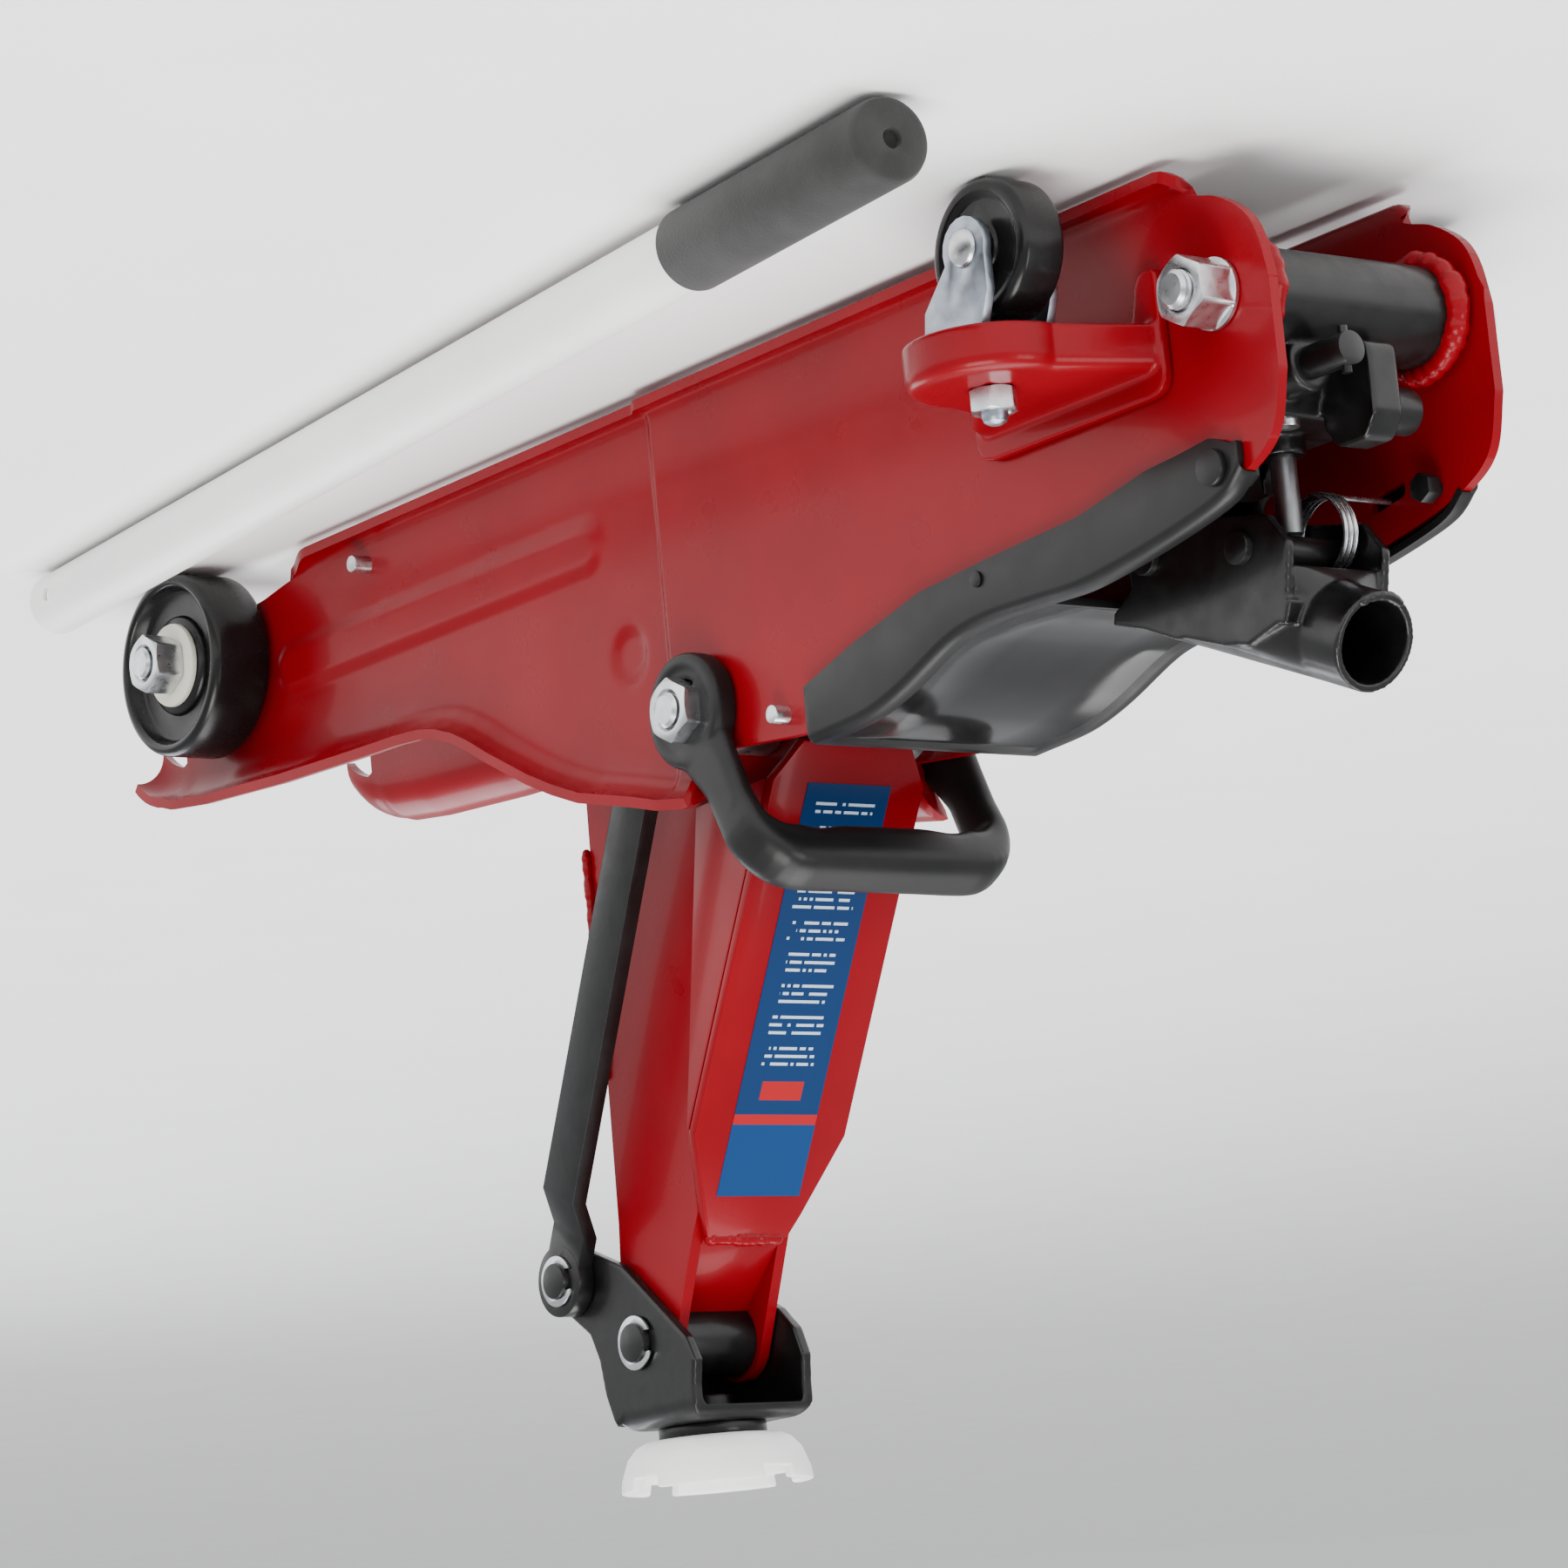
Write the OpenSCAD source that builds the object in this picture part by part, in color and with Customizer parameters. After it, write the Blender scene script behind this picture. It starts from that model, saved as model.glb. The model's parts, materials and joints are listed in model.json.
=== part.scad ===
// Two-tonne low-entry trolley jack with its handle bar laid beside it.
// +X is forward (saddle end), +Y is the jack's left, +Z is up. The origin is on the floor,
// on the centre plane, straight below the main pivot. The lifting arm is modelled raised.

/* [Chassis] */
// Outer width across the flat webs of the side plates
chassis_w = 84; // [82:1:88]
// Thickness of the side plates
plate_t = 3.5; // [3:0.5:4]
// Height of the chassis underside above the floor
chassis_z = 7; // [6:0.5:9]
// How far the top lip of the side plates curls outwards
lip_r = 12; // [10:1:13]

/* [Main pivot and arm] */
// Height of the main pivot
pivot_z = 111; // [110:1:113]
// Diameter of the main pivot shaft
shaft_d = 20; // [18:1:22]
// Forward distance from the main pivot to the saddle pin, arm raised
tip_x = 94; // [93:1:95]
// Height from the main pivot to the saddle pin, arm raised
tip_z = 192; // [190:1:194]
// Throw of the crank pin about the main pivot
crank_r = 52; // [50:1:54]
// Total swing of the lifting arm in degrees
arm_swing = 81; // [70:1:81]

/* [Saddle] */
// Diameter of the saddle over its lugs
saddle_d = 64; // [60:1:68]
// Height of the saddle over its lugs
saddle_h = 16; // [15:1:18]

/* [Wheels] */
// Diameter of the front wheels
wheel_d = 66; // [64:1:66]
// Width of the front wheels
wheel_w = 24; // [22:1:26]
// Diameter of the rear caster wheels
caster_d = 43; // [40:1:43]
// Width of the rear caster wheels
caster_w = 16; // [14:1:17]

/* [Handle] */
// Outer diameter of the handle bar
bar_d = 22; // [20:1:23]
// Diameter of the foam grip
grip_d = 25.5; // [25:0.5:28]
// Length of the whole handle bar
bar_len = 566; // [500:1:600]
// Bore of the handle socket
socket_bore = 25; // [24:0.5:26]

/* [Hidden] */
$fn = 48;
run = 0.05; // radial running clearance of a pin or shaft

web_o = chassis_w / 2; // outer face of the front webs
web_i = web_o - plate_t; // inner face of the front webs
rear_o = web_o + 2.5; // outer face of the rear webs, which stand proud
step_x = 18; // where the proud rear part ends

axle = [284.5, wheel_d / 2];
axle_d = 12;
rear_bolt = [-261, 44];
link_low = [33, pivot_z - 25]; // link bar's pivot on the chassis
tip = [tip_x, pivot_z + tip_z];
link_top = tip + link_low - [0, pivot_z]; // closes the parallelogram
crank_a = arm_swing / 2; // crank angle from straight down, arm raised
crank = [crank_r * sin(crank_a), pivot_z - crank_r * cos(crank_a)];
ram_z = pivot_z - crank_r * (1 + cos(crank_a)) / 2;
crank_rise = crank_r * (1 - cos(crank_a)) / 2; // crank pin's rise above the ram axis

fulcrum = [-193, 105];
lever_pin = [-234, 111.5];
pump_x = -234;
king = [-203.6, 83.4]; // caster kingpin, x and distance from the centre plane
trail = 9; // kingpin to caster axle
cover_bolt = [-255.5, 94.5]; // rear fastener of the cover
cover_rivet = [-145.5, 101.5];

fork_half = caster_w / 2 + 5.5; // kingpin to the outer face of the caster fork's legs

M12_af = 19;
M8_af = 13;

red = [0.64, 0.08, 0.10];
black = [0.14, 0.14, 0.15];
dark = [0.08, 0.08, 0.09];
zinc = [0.75, 0.77, 0.79];

// ---- helpers ----

// Draws its children on the right side, or mirrored on the left
module side(left) {
    if (left) mirror([0, 1, 0]) children();
    else children();
}

// Cylinder along Y from y0 to y1, centred at p = [x, z]
module along_y(p, d, y0, y1, fn = 64) {
    translate([p[0], y0, p[1]]) rotate([-90, 0, 0]) cylinder(d = d, h = y1 - y0, $fn = fn);
}

// Cylinder along X from x0 to x1, centred at [y, z]
module along_x(p, d, x0, x1, fn = 64) {
    translate([x0, p[0], p[1]]) rotate([0, 90, 0]) cylinder(d = d, h = x1 - x0, $fn = fn);
}

// Hexagon along Y across flats af, from y0 to y1
module hex_y(p, af, y0, y1) {
    translate([p[0], y0, p[1]]) rotate([-90, 0, 0]) rotate(30)
        cylinder(d = af / cos(30), h = y1 - y0, $fn = 6);
}

// Extrudes an XZ outline across y0 to y1
module profile_y(y0, y1) {
    translate([0, y1, 0]) rotate([90, 0, 0]) linear_extrude(y1 - y0) children();
}

// Ring about the Z axis, revolved from its [radius, height] outline
module turned(points, fn = 96) {
    rotate_extrude($fn = fn) polygon(points);
}

// ---- side plates ----

// Stations [x, top height] of the lip along the top of a side plate
lip_path = [
    [3, 139], [18, 136.5], [32, 132.5], [46, 129], [60, 125.5], [74, 120], [88, 113.5],
    [100, 107], [111, 101], [121, 95], [130, 90.5], [140, 87], [150, 85], [165, 84],
    [190, 83.5], [240, 82], [290, 79], [312, 76.5], [326, 72], [334, 66]
];
lip_steps = 5;

// Outer and inner edge of the curled lip in one section, as [distance from centre, height];
// its root is set a little inside the web's faces
function lip_section(zt) = let(c = web_o + lip_r, ro = lip_r + 0.2, ri = lip_r + plate_t - 0.2) concat(
    [for (i = [0:lip_steps]) let(a = 90 * i / lip_steps) [c - ro * cos(a), zt - ri + ro * sin(a)]],
    [for (i = [lip_steps:-1:0]) let(a = 90 * i / lip_steps) [c - ri * cos(a), zt - ri + ri * sin(a)]]
);

module top_lip() {
    n = 2 * (lip_steps + 1);
    m = len(lip_path);
    points = [for (s = lip_path) for (q = lip_section(s[1])) [s[0], -q[0], q[1]]];
    faces = concat(
        [[for (i = [n - 1:-1:0]) i]],
        [[for (i = [0:n - 1]) (m - 1) * n + i]],
        [for (k = [0:m - 2]) for (i = [0:n - 1])
            [k * n + i, k * n + (i + 1) % n, (k + 1) * n + (i + 1) % n, (k + 1) * n + i]]
    );
    polyhedron(points = points, faces = faces, convexity = 6);
}

// Side view of the web; the front part ends under the lip
web_bottom = [
    [-252, chassis_z + 4], [-257, chassis_z + 6], [-266, 16], [-276, 23], [-281, 31.5],
    [-284, 45], [-284, 71], [-279, 88], [-268, 96.5], [-250, 102], [-218, 108], [-190, 111]
];
web_front = [
    [318, 60], [319, 50], [316, 38], [306, 24], [290, 16], [258, 13.5], [246, 11.5],
    [238, chassis_z + 4]
];

module web_outline() {
    polygon(concat(
        web_bottom,
        [[-140, 111.5], [-125, 114], [-105, 121], [-80, 126.5], [-58, 129], [-20, 126], [2, 123.5]],
        [for (s = lip_path) if (s[0] > 3 && s[0] < 312) [s[0] + 1, s[1] - lip_r - plate_t + 0.8]],
        web_front
    ));
}

module side_plate() {
    color(red) difference() {
        union() {
            intersection() {
                profile_y(-web_o, -web_i) web_outline();
                translate([step_x, -60, 0]) cube([320, 60, 200]);
            }
            intersection() {
                profile_y(-rear_o, -web_i) web_outline();
                translate([-300, -60, 0]) cube([300 + step_x, 60, 200]);
            }
            top_lip();
            // outward lip along the bottom edge
            translate([-250, 0, 0]) rotate([90, 0, 90]) linear_extrude(486) polygon([
                [-web_i - 0.2, chassis_z + 6], [-web_i - 0.2, chassis_z + 3.5],
                [-web_o - 1, chassis_z], [-web_o - 7, chassis_z], [-web_o - 7, chassis_z + 3],
                [-web_o - 0.5, chassis_z + 3], [-web_o + 0.2, chassis_z + 6]
            ]);
            // weld collar round the cross tube
            along_y(rear_bolt, 30, -web_i - 1, -web_i + 3);
        }
        along_y([0, pivot_z], shaft_d, -60, 0);
        along_y(rear_bolt, 12, -60, -web_i - 0.5);
        along_y(rear_bolt, 21.5, -web_i - 0.5, 0);
        along_y(axle, axle_d, -60, 0);
        along_y(link_low, 12, -web_i - 1.5, 0);
        along_y(cover_bolt, 5, -60, 0);
        along_y(cover_rivet, 3, -60, 0);
        along_y([-42, 121], 6, -60, 0);
        along_y([190, 16.8], 6, -60, 0);
        // slot for the end of the socket spring
        profile_y(-60, 0) translate([-241, 90]) square([13, 5]);
    }
}

module side_plate_right() { side_plate(); }
module side_plate_left() { side(true) side_plate(); }

// ---- cross members, shafts and their fasteners ----

module cross_tube() {
    color(black) difference() {
        along_y(rear_bolt, 21.4, -web_i - 0.4, web_i + 0.4);
        along_y(rear_bolt, 12, -60, 60);
    }
}

module rear_bolts() {
    color(zinc) {
        along_y(rear_bolt, 11.98, -62, 62);
        for (s = [0, 1]) side(s == 1) difference() {
            hex_y(rear_bolt, M12_af, -59, -rear_o - 0.1);
            along_y(rear_bolt, 11.9, -70, 0);
        }
    }
}

module pivot_shaft() {
    color(zinc) {
        along_y([0, pivot_z], shaft_d - 0.02, -rear_o - 5, rear_o + 5);
        along_y([0, pivot_z], 12, -61, 61);
    }
}

module pivot_nuts() {
    color(zinc) for (s = [0, 1]) side(s == 1) difference() {
        hex_y([0, pivot_z], M12_af, -59.6, -49.6);
        along_y([0, pivot_z], 12.04, -70, 0);
    }
}

module pivot_spacers() {
    color(zinc) for (s = [0, 1]) side(s == 1) difference() {
        along_y([0, pivot_z], 26, -web_i + 0.02, -20.3);
        along_y([0, pivot_z], shaft_d, -70, 0);
    }
}

module front_axle() {
    color(zinc) along_y(axle, axle_d - 0.02, -80, 80);
}

module axle_spacer() {
    color(black) difference() {
        along_y(axle, 19, -web_i + 0.02, web_i - 0.02);
        along_y(axle, axle_d, -60, 60);
    }
}

module axle_nuts() {
    color(zinc) for (s = [0, 1]) side(s == 1) difference() {
        hex_y(axle, M12_af, -78.5, -67.2);
        along_y(axle, axle_d, -90, 0);
    }
}

module axle_washers() {
    color([0.85, 0.84, 0.79]) for (s = [0, 1]) side(s == 1) difference() {
        along_y(axle, 30, -67, -64.8);
        along_y(axle, axle_d, -90, 0);
    }
}

module tie_rod_upper() { color(zinc) along_y([-42, 121], 5.98, -50.5, 50.5); }
module tie_rod_lower() { color(zinc) along_y([190, 16.8], 5.98, -49, 49); }

// Push fasteners that hold the rear of the cover to both plates
module cover_bolts() {
    color(dark) for (s = [0, 1]) side(s == 1) {
        along_y(cover_bolt, 4.98, -rear_o - 5.4, -web_i + 2);
        along_y(cover_bolt, 11, -rear_o - 5.4, -rear_o - 3.12);
        hex_y(cover_bolt, 8, -web_i + 0.02, -web_i + 5);
    }
}

// ---- hydraulic unit ----

module pump_block() {
    color(black) difference() {
        union() {
            translate([-276, -26, 32]) cube([62, 52, 40]);
            translate([-262, -20, 72]) cube([48, 40, 5]);
            translate([pump_x, 0, 66]) cylinder(d = 15, h = 17);
            // boss of the cross plug
            along_y([-268, 76], 20, -4, 8);
            // lugs that carry the handle socket's fulcrum
            for (y = [-15, 9]) {
                profile_y(y, y + 6) polygon([[-219, 70], [-184, 70], [-184, 105], [-202, 105],
                    [-205, 96], [-213, 86], [-219, 79]]);
                along_y(fulcrum, 18, y, y + 6);
            }
        }
        along_y(rear_bolt, 21.5, -60, 60);
        along_y(fulcrum, 10, -60, 60);
        translate([pump_x, 0, 60]) cylinder(d = 8.1, h = 40);
        along_y([-268, 76], 14, -10, 30);
        along_x([-17, 64], 10.1, -290, -240);
        along_x([0, ram_z], 52, -214, -150);
        translate([-250, -12, 70]) cylinder(d = 8, h = 30);
    }
}

module ram_cylinder() {
    color(black) difference() {
        along_x([0, ram_z], 51.9, -213.9, -62);
        along_x([0, ram_z], 36, -190, -50);
    }
}

module gland() {
    color(dark) difference() {
        along_x([0, ram_z], 46, -61.98, -54);
        along_x([0, ram_z], 24.1, -80, -40);
    }
}

// Plug across the back of the pump block
module valve_plug() { color(dark) along_y([-268, 76], 13.98, -3, 20); }
module oil_plug() { color(zinc) translate([-250, -12, 70.1]) cylinder(d = 7.98, h = 8.5); }
module fulcrum_pin() { color(dark) along_y(fulcrum, 9.98, -23, 23); }

module release_valve() {
    color(zinc) {
        along_x([-17, 64], 10, -286, -242);
        translate([-283, -17, 64 - 7]) cylinder(d = 3, h = 14);
    }
}

// Torsion spring hung on the lever pin; its long leg reaches the slot in the left plate
module socket_spring() {
    turns = 3;
    coil_r = 12.2;
    wire_r = 0.9;
    c = lever_pin - [0, 5.9];
    path = concat(
        [[c[0] - 1, web_i + 2.5, c[1] - coil_r], [c[0] - 1, 20, c[1] - coil_r],
            [c[0] - 0.8, 17.6, c[1] - coil_r]],
        [for (i = [0:turns * 24]) let(a = 15 * i - 90)
            [c[0] + coil_r * cos(a), 16.3 - 2 * i / 24, c[1] + coil_r * sin(a)]],
        [[c[0] + 5, 10.3, c[1] - coil_r + 0.6], [c[0] + 9, 10.3, c[1] - coil_r + 1.2]]
    );
    n = 8;
    m = len(path);
    // one ring of the wire at p, square to direction d
    function ring(p, d) =
        let(e = d / norm(d), u = cross(e, [0.1, 0.95, 0.3]), a = u / norm(u), b = cross(e, a))
        [for (i = [0:n - 1]) p + wire_r * (cos(360 * i / n) * a + sin(360 * i / n) * b)];
    points = [for (k = [0:m - 1]) for (q = ring(path[k], path[min(k + 1, m - 1)] - path[max(k - 1, 0)])) q];
    faces = concat(
        [[for (i = [n - 1:-1:0]) i]],
        [[for (i = [0:n - 1]) (m - 1) * n + i]],
        [for (k = [0:m - 2]) for (i = [0:n - 1])
            [k * n + i, k * n + (i + 1) % n, (k + 1) * n + (i + 1) % n, (k + 1) * n + i]]
    );
    color(zinc) polyhedron(points = points, faces = faces, convexity = 10);
}

// ---- moulded cover over the hydraulic unit ----

// Side view of the cover's upper surface, from its rear tip to its front edge
cover_rear = [[-266, 98], [-258, 104], [-242, 108.2], [-216, 112.6], [-192, 115.3]];
cover_top = [[-172, 115], [-150, 114.6], [-136, 115.8], [-125, 118.5], [-106, 125.8],
    [-92, 130], [-80, 132], [-56, 133.5]];
cover_low = [[-53.5, 116], [-83, 107], [-117, 99], [-150, 96.5], [-194, 94], [-226, 88],
    [-241, 87], [-255, 85.5], [-263, 89]];
cover_t = 2.5;

module cover() {
    color(dark) difference() {
        union() {
            // skirts outside both plates
            for (s = [0, 1]) side(s == 1) profile_y(-rear_o - 3.1, -rear_o - 0.6)
                polygon(concat(cover_rear, cover_top, cover_low));
            // raised panel between them
            profile_y(-rear_o - 1, rear_o + 1) polygon(concat(
                cover_top, [for (i = [len(cover_top) - 1:-1:0]) cover_top[i] - [0, cover_t]]));
            // ledges along the tops of the plates, behind the panel
            for (s = [0, 1]) side(s == 1) profile_y(-rear_o - 1, -web_i + 2) polygon(concat(
                [for (i = [2:4]) cover_rear[i]], [cover_top[0]],
                [cover_top[0] - [0, cover_t]], [for (i = [4:-1:2]) cover_rear[i] - [0, cover_t]]));
        }
        along_y(cover_bolt, 5, -60, 60);
        along_y(cover_rivet, 3, -60, 60);
    }
}

// Small rivets further forward
module cover_rivets() {
    color(dark) for (s = [0, 1]) side(s == 1) {
        along_y(cover_rivet, 2.98, -rear_o - 4, -web_i + 1);
        along_y(cover_rivet, 5, -rear_o - 4.1, -rear_o - 3.12);
    }
}

// ---- casters ----

module caster_bracket() {
    color(red) difference() {
        union() {
            // domed cap round the kingpin
            translate([king[0], -king[1], 0]) turned([[0, 51.5], [22.5, 51.5], [22.5, 46.5],
                [25.5, 46.5], [25.5, 55], [23.5, 58.5], [19, 60.5], [0, 60.5]]);
            // platform and flange that carry it on the side plate
            translate([-238, -king[1], 51.5]) cube([60, king[1] - rear_o, 8.5]);
            translate([-240, -rear_o - 4, 40]) cube([88, 4, 20]);
            for (x = [-240, -156]) translate([x, -rear_o - 7, 22]) cube([4, 7, 20]);
            // gussets under the platform
            for (x = [-238, -182]) profile_y(-64, -rear_o) translate([x, 44]) square([4, 8]);
        }
        translate([king[0], -king[1], 40]) cylinder(d = 8.1, h = 30);
        translate([king[0], -king[1], 40]) cylinder(d = 30, h = 15.5);
    }
}

module caster_fork() {
    wheel_x = king[0] - trail;
    half = fork_half;
    color([0.60, 0.63, 0.67]) difference() {
        union() {
            translate([king[0] - 13, -king[1] - half, 45.2]) cube([26, 2 * half, 3]);
            for (y = [-half, half - 3]) profile_y(-king[1] + y, -king[1] + y + 3) polygon(concat(
                [[king[0] - 13, 48.2], [king[0] + 13, 48.2], [king[0] + 11, 36]],
                [for (a = [20:-20:-200]) [wheel_x + 9.5 * cos(a), caster_d / 2 + 9.5 * sin(a)]],
                [[king[0] - 18, 36]]));
            // bearing race and threaded kingpin
            translate([king[0], -king[1], 48]) cylinder(d = 29, h = 7.4);
            translate([king[0], -king[1], 48]) cylinder(d = 8, h = 21);
            translate([king[0], -king[1], 69]) turned([[0, 0], [4, 0], [3.4, 1.4], [2, 2.2], [0, 2.5]]);
        }
        along_y([wheel_x, caster_d / 2], 7.98, -120, 0);
    }
}

// Flange nut on the kingpin
module caster_nut() {
    color(zinc) translate([king[0], -king[1], 60.6]) difference() {
        union() {
            cylinder(d = 17, h = 1.4);
            cylinder(d = M8_af / cos(30), h = 7, $fn = 6);
        }
        translate([0, 0, -1]) cylinder(d = 8, h = 10);
    }
}

module caster_axle() {
    c = [king[0] - trail, caster_d / 2];
    half = fork_half;
    color(zinc) {
        along_y(c, 7.98, -king[1] - half, -king[1] + half);
        for (s = [-1, 1]) translate([c[0], -king[1] + s * half, c[1]]) rotate([-90 * s, 0, 0])
            turned([[0, 0], [6, 0], [5.2, 1.3], [3, 2.2], [0, 2.4]]);
    }
}

module caster_wheel() {
    r = caster_d / 2;
    w = caster_w / 2;
    color(dark) translate([king[0] - trail, -king[1], r]) rotate([90, 0, 0]) turned([
        [3.99 + run, -w], [7, -w], [8, -w + 1.5], [r - 6, -w + 1.5], [r - 4, -w], [r - 1.5, -w],
        [r, -w + 1.5], [r, w - 1.5], [r - 1.5, w], [r - 4, w], [r - 6, w - 1.5], [8, w - 1.5],
        [7, w], [3.99 + run, w]]);
}

module caster_bracket_right() { caster_bracket(); }
module caster_bracket_left() { side(true) caster_bracket(); }
module caster_fork_right() { caster_fork(); }
module caster_fork_left() { side(true) caster_fork(); }
module caster_nut_right() { caster_nut(); }
module caster_nut_left() { side(true) caster_nut(); }
module caster_axle_right() { caster_axle(); }
module caster_axle_left() { side(true) caster_axle(); }
module caster_wheel_right() { caster_wheel(); }
module caster_wheel_left() { side(true) caster_wheel(); }

// ---- front wheels ----

module front_wheel() {
    r = wheel_d / 2;
    y0 = web_o + 2.4;
    w = wheel_w;
    color(dark) translate([axle[0], -y0, axle[1]]) rotate([90, 0, 0]) turned([
        [axle_d / 2 - 0.01 + run, 0], [12, 0], [14, 2], [r - 6, 2], [r - 4, 0], [r - 2, 0],
        [r - 0.6, 0.6], [r, 2], [r, w - 2.5], [r - 0.8, w - 0.8], [r - 2.5, w], [r - 4.5, w],
        [r - 6.5, w - 4], [18, w - 6], [16, w - 4.1], [axle_d / 2 - 0.01 + run, w - 4.1]], 128);
}
module front_wheel_right() { front_wheel(); }
module front_wheel_left() { side(true) front_wheel(); }

// ---- lifting arm, drawn raised ----

arm_a = 60.9; // slope of the arm's back plate
arm_foot = [-15.1, 136]; // point on the plate's outer face where the label starts
cheek_o = 19.8; // outer face of the arm's cheeks
cheek_t = 4;
flare_o = 31; // half-width of the back plate, where the flared sides end
tip_r = 14;
pin_d = 13; // saddle pin
link_pin_d = 12;
crank_d = 16;
arm_dir = atan2(tip_z, tip_x);

// Point at s along the back plate and o in front of its outer face
function on_back(s, o) = arm_foot + s * [cos(arm_a), sin(arm_a)] + o * [sin(arm_a), -cos(arm_a)];

// Points of an arc about c from a0 to a1
function arc(c, r, a0, a1, step = 20) = [for (a = [a0:step:a1]) c + r * [cos(a), sin(a)]];

module arm_cheek_outline() {
    polygon(concat(
        [on_back(157, 4.02), on_back(-14, 4.02), [-18, 118], [-16, 104], [-4, 88], [14, 70]],
        arc(crank, 14, -140, -40),
        [[62, 74], [88, 94], [99, 106], [103, 118], [103.8, 160], [105, 230], [105.5, 262],
            [107.5, 288]],
        arc(tip, tip_r, -10, 150)
    ));
}

module lift_arm() {
    color(red) difference() {
        union() {
            for (s = [0, 1]) side(s == 1) {
                profile_y(-cheek_o, -cheek_o + cheek_t) arm_cheek_outline();
                // flared side that runs out to the edge of the back plate
                hull() {
                    profile_y(-flare_o, -flare_o + 0.5)
                        polygon([on_back(1, 4.02), on_back(120, 4.02), on_back(120, 5), on_back(1, 5)]);
                    profile_y(-cheek_o, -cheek_o + 0.5)
                        polygon([on_back(1, 4.02), on_back(149, 4.02), [61.5, 265], [42, 133]]);
                }
            }
            along_y([0, pivot_z], 30, -cheek_o, cheek_o);
            // web across the front of the cheeks
            profile_y(-cheek_o + 1, cheek_o - 1)
                polygon([[100.5, 132], [103.3, 132], [104.6, 216], [101.6, 216]]);
        }
        along_y([0, pivot_z], shaft_d - 0.02 + 2 * run, -60, 60);
        along_y(crank, crank_d, -60, 60);
        along_y(tip, pin_d - 0.02 + 2 * run, -60, 60);
    }
}

// Frame on the back plate: X along the arm, Z outwards
module back_frame() {
    translate([arm_foot[0], 0, arm_foot[1]]) rotate([0, -arm_a, 0]) children();
}

// Plate welded across the back of the cheeks
module arm_back_plate() {
    half = [[-14, 22], [0, flare_o], [121, flare_o], [149, 20], [157, 16.3]];
    color(red) back_frame() translate([0, 0, -4]) linear_extrude(4) polygon(concat(
        half, [for (i = [len(half) - 1:-1:0]) [half[i][0], -half[i][1]]]));
}

// Plain coloured label on the back plate, without any lettering
module arm_label() {
    color([0.02, 0.22, 0.42]) back_frame() translate([0, -17, 0]) cube([142, 34, 0.3]);
}

module arm_tube() {
    color(dark) difference() {
        along_y(tip, 24, -cheek_o + cheek_t + 0.02, cheek_o - cheek_t - 0.02);
        along_y(tip, pin_d - 0.02 + 2 * run, -60, 60);
    }
}

module crank_pin() { color(zinc) along_y(crank, crank_d - 0.02, -cheek_o, cheek_o); }

// ---- saddle bracket, kept level by the link bar ----

ear_i = 20.5; // inner face of the bracket's ears
ear_o = 24.5;
deck_z = tip[1] + 28.5; // top of the bracket
saddle_x = tip[0] - 4;
spigot_d = 12;
boss_h = 4;

module saddle_bracket() {
    deck_front = [[108, deck_z], [65.5, deck_z], [65.5, 320]];
    color(black) difference() {
        union() {
            translate([65.5, -ear_o, deck_z - 4]) cube([44, 2 * ear_o, 4]);
            // right ear, which reaches forward to the link pin
            profile_y(-ear_o, -ear_i) polygon(concat(
                deck_front, [[64, 312], [68, 304], [100, 276.5]],
                arc(link_top, 12, -125, 50, 25),
                [[121, 297], [117, 306], [115, 318], [111.5, 327]]));
            // left ear, rounded below the saddle pin
            profile_y(ear_i, ear_o) polygon(concat(
                deck_front, [[64.5, 311], [68, 302], [76, 294.5], [86, 289], [98, 288.5],
                    [107, 293], [113, 302], [115, 316], [111.5, 327]]));
        }
        along_y(tip, pin_d, -60, 60);
        along_y(link_top, link_pin_d, -60, 0);
        translate([saddle_x, 0, deck_z - 10]) cylinder(d = spigot_d, h = 20);
    }
}

module saddle_pin() { color(black) along_y(tip, pin_d - 0.02, -27.5, 27.5); }
module link_pin() { color(black) along_y(link_top, link_pin_d - 0.02, -33.5, -ear_i); }

// Open retaining ring round a pin, its outer face y away from the centre plane
module ring_clip(p, d, y) {
    translate([p[0], -y, p[1]]) rotate([-90, 0, 0]) difference() {
        cylinder(d = d + 5, h = 1);
        translate([0, 0, -1]) cylinder(d = d, h = 4);
        rotate(180) translate([0, -3.5, -1]) cube([20, 7, 4]);
    }
}

module circlips() {
    color(zinc) {
        for (s = [0, 1]) side(s == 1) ring_clip(tip, pin_d, ear_o + 1.8);
        ring_clip(link_top, link_pin_d, 32.2);
    }
}

module saddle_boss() {
    color(black) translate([saddle_x, 0, deck_z]) difference() {
        cylinder(d = 36, h = boss_h);
        translate([0, 0, -1]) cylinder(d = spigot_d, h = 10);
    }
}

// Cup with four notches in its rim and a spigot that turns in the boss
module saddle() {
    r = saddle_d / 2;
    color([0.90, 0.90, 0.90]) translate([saddle_x, 0, deck_z + boss_h + 0.3]) difference() {
        union() {
            turned([[0, 0], [r - 9, 0], [r - 6, 1.5], [r - 3, 5], [r - 1.5, 9], [r - 0.5, 12],
                [r, saddle_h], [r - 4, saddle_h], [r - 5, 12], [r - 7, 6], [0, 6]], 128);
            translate([0, 0, -12.8]) cylinder(d = spigot_d - 2 * run, h = 14);
        }
        for (a = [-4:90:266]) rotate(a) translate([r - 12, -6, saddle_h - 4]) cube([20, 12, 10]);
    }
}

// ---- link bar ----

link_w = 18;
link_t = 5.6;
link_len = norm([tip_x, tip_z]);
link_top_y = 25.2; // inner face at the saddle end
link_low_y = 32.2; // inner face at the chassis end

// Frame at the lower pivot: X along the bar
module link_frame() {
    translate([link_low[0], 0, link_low[1]]) rotate([0, -arm_dir, 0]) children();
}

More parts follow.
